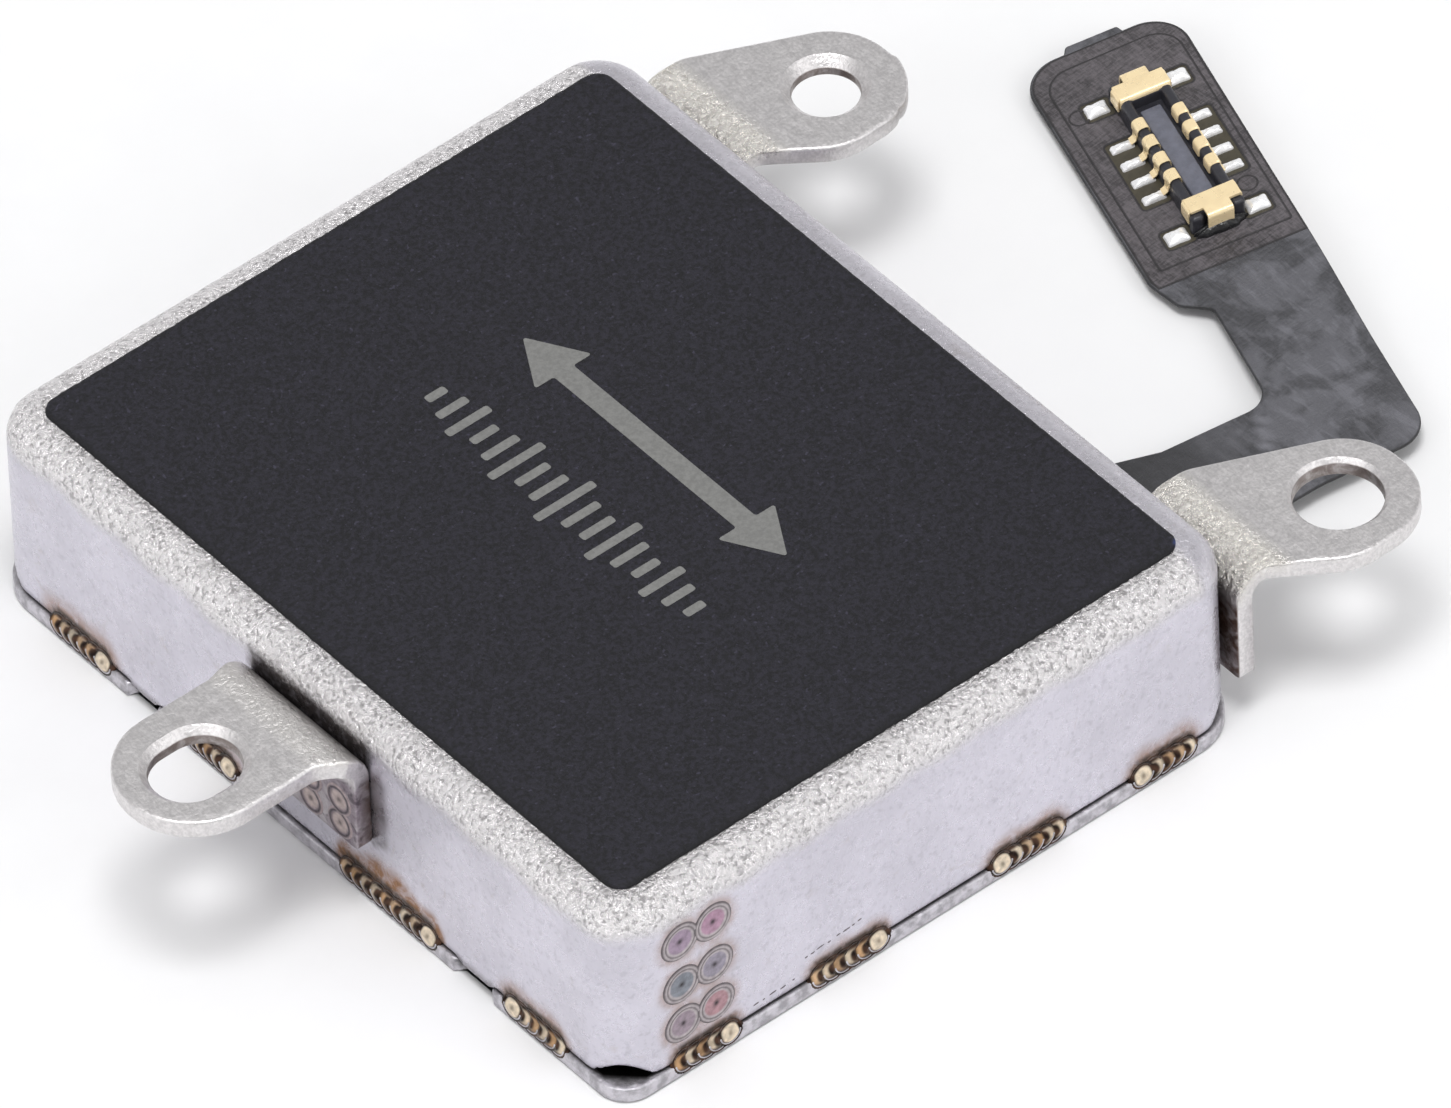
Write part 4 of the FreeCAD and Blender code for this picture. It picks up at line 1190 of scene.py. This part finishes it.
def housing_parts():
    """Moulded frame with rounded rails, and the posts at its ends."""
    outer = box_loop(BODY_W, BODY_L - 0.10, 0.12, 0.12, 0.02)
    trough = box_loop(TROUGH_W, TROUGH_L, 0.03, 0.12, 0.02)[::-1]
    parts = [solid([outer, trough], [edge_profile(FLEX_Z1, BODY_TOP, 0.075, 0.0, 5)] * 2)]
    for side in (-1, 1):
        for end in (-1, 1):
            c0, c1 = sorted((side * 0.22, side * 0.43))
            a0, a1 = sorted((end * 1.40, end * BODY_L))
            parts.append(box_piece(c0, c1, a0, a1, FLEX_Z1, BODY_TOP - 0.02, 0.09, 0.07))
    return parts


def contact_shapes():
    """Eight straps: in the trough, over the rail, and down its outer face."""
    made = []
    near, far, crown = TROUGH_W - 0.008, BODY_W + 0.008, BODY_TOP + 0.014
    for side in (-1, 1):
        for a in CONTACT_AT:
            over = arc_path([(near, FLOOR_Z + 0.06), (near, crown), (far, crown), (far, BODY_TOP - 0.12)],
                            0.075, 7)
            made.append(strip([(side * s, z) for s, z in over], STRAP_HALF, STRAP_T, False, a, 0.02))
            foot = arc_path([(far, BODY_TOP - 0.08), (far, FLEX_Z1 + 0.09), (BODY_W + 0.09, FLEX_Z1 + 0.05)],
                            0.045)
            made.append(strip([(side * s, z) for s, z in foot], FOOT_HALF, STRAP_T, False, a))
    return made


def end_cap_shapes():
    """T-shaped caps: rolled down into the trough, with a tongue folded over the end."""
    made, top, flank = [], BODY_TOP + 0.018, 0.418
    for end in (-1, 1):
        roll = arc_path([(end * 1.13, top - 0.14), (end * 1.13, top), (end * 1.45, top)], 0.06, 6)
        made.append(strip(roll, 0.405, 0.04, True, 0.0))
        for side in (-1, 1):
            wrap = arc_path([(side * 0.30, top - 0.004), (side * flank, top - 0.004),
                             (side * flank, FLEX_Z1 + 0.12)], 0.06, 6)
            made.append(strip(wrap, 0.135, 0.035, False, end * 1.29))
        bend = end * 1.625
        tongue = arc_path([(end * 1.38, top - 0.002), (bend, top - 0.002), (bend, FLEX_Z1 + 0.02)], 0.06, 6)
        made.append(strip(tongue, 0.205, 0.045, True, 0.0))
    return made


def dome(centre, peak, rings):
    """Closed lump on the sheet over rings of (plan outline, height), from its foot inwards."""
    c, a = centre
    n, last = len(rings[0][0]), (len(rings) - 1) * len(rings[0][0])
    verts = np.concatenate([np.column_stack([plan, np.full(n, SHEET_TOP + height)]) for plan, height in rings]
                           + [[(c, a, SHEET_TOP + peak), (c, a, SHEET_TOP)]])
    around = [(j, (j + 1) % n) for j in range(n)]
    faces = [(i + j, i + k, i + n + k, i + n + j) for i in range(0, last, n) for j, k in around]
    faces += [(last + j, last + k, last + n) for j, k in around] + [(k, j, last + n + 1) for j, k in around]
    return verts, faces


def solder_joint(c, a, half_c, half_a, peak, waist, seed):
    """Wetted joint: pulled-in sides and a lumpy, domed top."""
    rows, power = 7, 0.42
    angles = round_angles(44)
    plan_c, plan_a = (np.sign(wave) * np.abs(wave) ** power for wave in (np.cos(angles), np.sin(angles)))
    plan_a = plan_a * (1 - waist * (1 - plan_c ** 2))
    plan_c = plan_c * (1 - waist * 0.6 * (1 - plan_a ** 2))
    rings = []
    for t in np.arange(rows) / rows:
        size = (1 - t ** 1.6) * (1 + 0.10 * np.sin(3 * angles + seed) * t)
        plan = np.stack([c + half_c * plan_c * size, a + half_a * plan_a * size], 1)
        rings.append((plan, peak * math.sin(t * math.pi / 2) ** 0.8))
    verts, faces = dome((c, a), peak, rings)
    lumps = ripple(verts[:, 0] + seed, verts[:, 1], 0, 0.05) * (verts[:, 2] > SHEET_TOP + 0.02)
    verts[:, 2] += 0.012 * lumps
    return verts, faces


def solder_shapes():
    """A joint at each of the eight contacts' feet and the four hold-downs."""
    made = []
    for side in (-1, 1):
        for k, a in enumerate(CONTACT_AT):
            made.append(solder_joint(side * 0.62, a, 0.20, 0.088, 0.09, 0.16, k + side))
        for end in (-1, 1):
            made.append(solder_joint(side * 0.645, end * HOLD_AT, 0.20, 0.155, 0.10, 0.20, 2 * side + end))
    return made


def glue_shape():
    """Blob of sealing glue against the connector's near end."""
    rows, peak, at = 6, 0.15, -1.60
    angles = round_angles(60)
    wave = 1 + 0.06 * np.sin(5 * angles + 1) + 0.04 * np.sin(11 * angles)
    rings = []
    for t in np.arange(rows) / rows:
        size = (1 - t ** 2) * wave
        plan = np.stack([0.42 * np.cos(angles) * size, at + 0.13 * np.sin(angles) * size], 1)
        rings.append((plan, peak * math.sin(t * math.pi / 2)))
    return dome((0, at), peak, rings)


def pad_piece(name, parts, finish, replaces=(), angle=35):
    """Piece that is drawn about the connector's middle and rides the tail."""
    shape = join([on_pad(part, OFF) for part in parts])
    return piece(name, shape, finish, "tail", replaces, angle)


pad_piece("connector_body", housing_parts(), MOULDING, ["connector_housing"])
w, l = TROUGH_W + 0.02, TROUGH_L + 0.02
floor_block = box_piece(-w, w, -l, l, FLEX_Z1, FLOOR_Z, 0.03, 0.004)
tongue_block = box_piece(-0.165, 0.165, -0.97, 0.97, FLOOR_Z - 0.02, FLOOR_Z + 0.06, 0.03, 0.02)
pad_piece("connector_trough_floor", [floor_block], MOULDING)
pad_piece("connector_trough_tongue", [tongue_block], TROUGH)
pad_piece("connector_straps", contact_shapes(), GOLD, ["connector_contacts"])
pad_piece("connector_end_caps_rolled", end_cap_shapes(), GOLD, ["connector_end_caps"])
pad_piece("connector_solder_joints", solder_shapes(), SOLDER, ["connector_solder"], 60)
pad_piece("connector_glue", [glue_shape()], GLUE)


# ---- inside the can ----
def ribbon(path, half):
    """Closed plan outline of a bent strip."""
    path = np.array(path, float)
    normal = left_normals(np.gradient(path, axis=0))
    return np.concatenate([path - normal * half, (path + normal * half)[::-1]])


def spring_shape(node):
    """V spring along the CAD spring: leg on the wall, fold, leg on the mass."""
    low, high = cad(node)
    turn = 1 if low[1] < 0 else -1
    wall_y, mass_y = (low[1], high[1]) if turn > 0 else (-high[1], -low[1])
    half, tip_x, flat_x, knee_x = 0.075, -5.20, -4.40, -3.50
    apex_x, apex_y, apex_r = 4.30, -5.98, 0.24
    near, far = wall_y + half, mass_y - half
    path = [(tip_x, near), (flat_x, near)]
    path += arc_path([(flat_x, near), (knee_x, near), (apex_x, apex_y - apex_r)], 0.4, 8)[1:]
    path += [(apex_x + apex_r * math.sin(a), apex_y - apex_r * math.cos(a))
             for a in np.linspace(0.2, 2.94, 16)]
    path += arc_path([(apex_x, apex_y + apex_r), (knee_x, far), (flat_x, far)], 0.4, 8)
    path += [(tip_x, far)]
    verts, faces = outward(*slab(ribbon(path, half), low[2], high[2], 0.02, 0.02))
    verts[:, :2] *= turn
    return verts, faces


for end in ("front", "rear"):
    spring = piece("spring_" + end, spring_shape("leaf_spring_" + end), SPRING, None,
                   ["leaf_spring_" + end])
    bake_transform(spring)
    low, high = cad("foam_damper_" + end)
    middle, half = (low + high) / 2, (high - low) / 2
    loop = box_loop(half[0], half[1], 0.12, 0.12, 0.04, at=middle[:2])
    block = slab(loop, low[2], high[2], 0.08, 0.08, spacing=0.2)
    foam = piece("foam_" + end, block, FOAM, None, ["foam_damper_" + end])
    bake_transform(foam)

INNER = {"coil_front": COPPER, "coil_rear": COPPER, "coil_film": FILM, "position_sensor": EPOXY,
         "coil_solder": SOLDER, "mass_frame": TUNGSTEN, "yoke_plate": YOKE, "magnet_front": NICKEL,
         "magnet_centre": NICKEL, "magnet_rear": NICKEL, "bumper_front": RUBBER, "bumper_rear": RUBBER,
         "spring_clamp_front": YOKE, "spring_clamp_rear": YOKE}
for node, finish in INNER.items():
    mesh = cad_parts[node].data
    mesh.materials.clear()
    mesh.materials.append(finish)


# ---- floor, light and surroundings ----
def floor():
    """White paper just under the object."""
    finish = Finish("floor_paper", (0.86, 0.86, 0.865), roughness=0.7)
    grain = finish.noise(0.6, 3.0)
    finish.tone(finish.mix(grain, (0.84, 0.84, 0.845, 1), (0.88, 0.88, 0.885, 1)))
    size, level = 0.5, -2e-5
    corners = [(x, y, level) for x, y in ((-size, -size), (size, -size), (size, size), (-size, size))]
    mesh = bpy.data.meshes.new("floor")
    mesh.from_pydata(corners, [], [(0, 1, 2, 3)])
    mesh.materials.append(finish.material)
    put("floor", mesh)


def lamp(name, place, size, power):
    """Soft square light that looks at the object."""
    data = bpy.data.lights.new(name, "AREA")
    data.size, data.energy = size, power
    made = put(name, data)
    made.location = place
    aim = Vector((0.002, 0, 0.001))
    made.rotation_euler = (aim - Vector(place)).to_track_quat("-Z", "Y").to_euler()


def surroundings():
    """White studio all round, a little darker low down."""
    world = bpy.data.worlds.new("studio")
    world.use_nodes = True
    bpy.context.scene.world = world
    nodes, links = world.node_tree.nodes, world.node_tree.links
    background = nodes["Background"]
    place = nodes.new("ShaderNodeTexCoord").outputs["Generated"]
    split = nodes.new("ShaderNodeSeparateXYZ")
    links.new(place, split.inputs[0])
    ramp = nodes.new("ShaderNodeValToRGB")
    stops = ramp.color_ramp.elements
    for position, level in ((0.0, 0.95), (0.25, 0.80), (0.6, 0.42), (0.8, 0.50), (0.97, 0.80)):
        stop = stops[0] if position == 0 else stops.new(position)
        stop.position, stop.color = position, (level, level, level * 1.01, 1)
    stops.remove(stops[-1])
    links.new(split.outputs["Z"], ramp.inputs[0])
    links.new(ramp.outputs[0], background.inputs["Color"])
    background.inputs["Strength"].default_value = 0.95


floor()
lamp("key_front_right", (0.10, -0.22, 0.16), 0.12, 0.12)
lamp("fill_left", (-0.22, -0.02, 0.14), 0.12, 0.10)
lamp("top_soft", (-0.04, -0.04, 0.28), 0.10, 0.42)
surroundings()
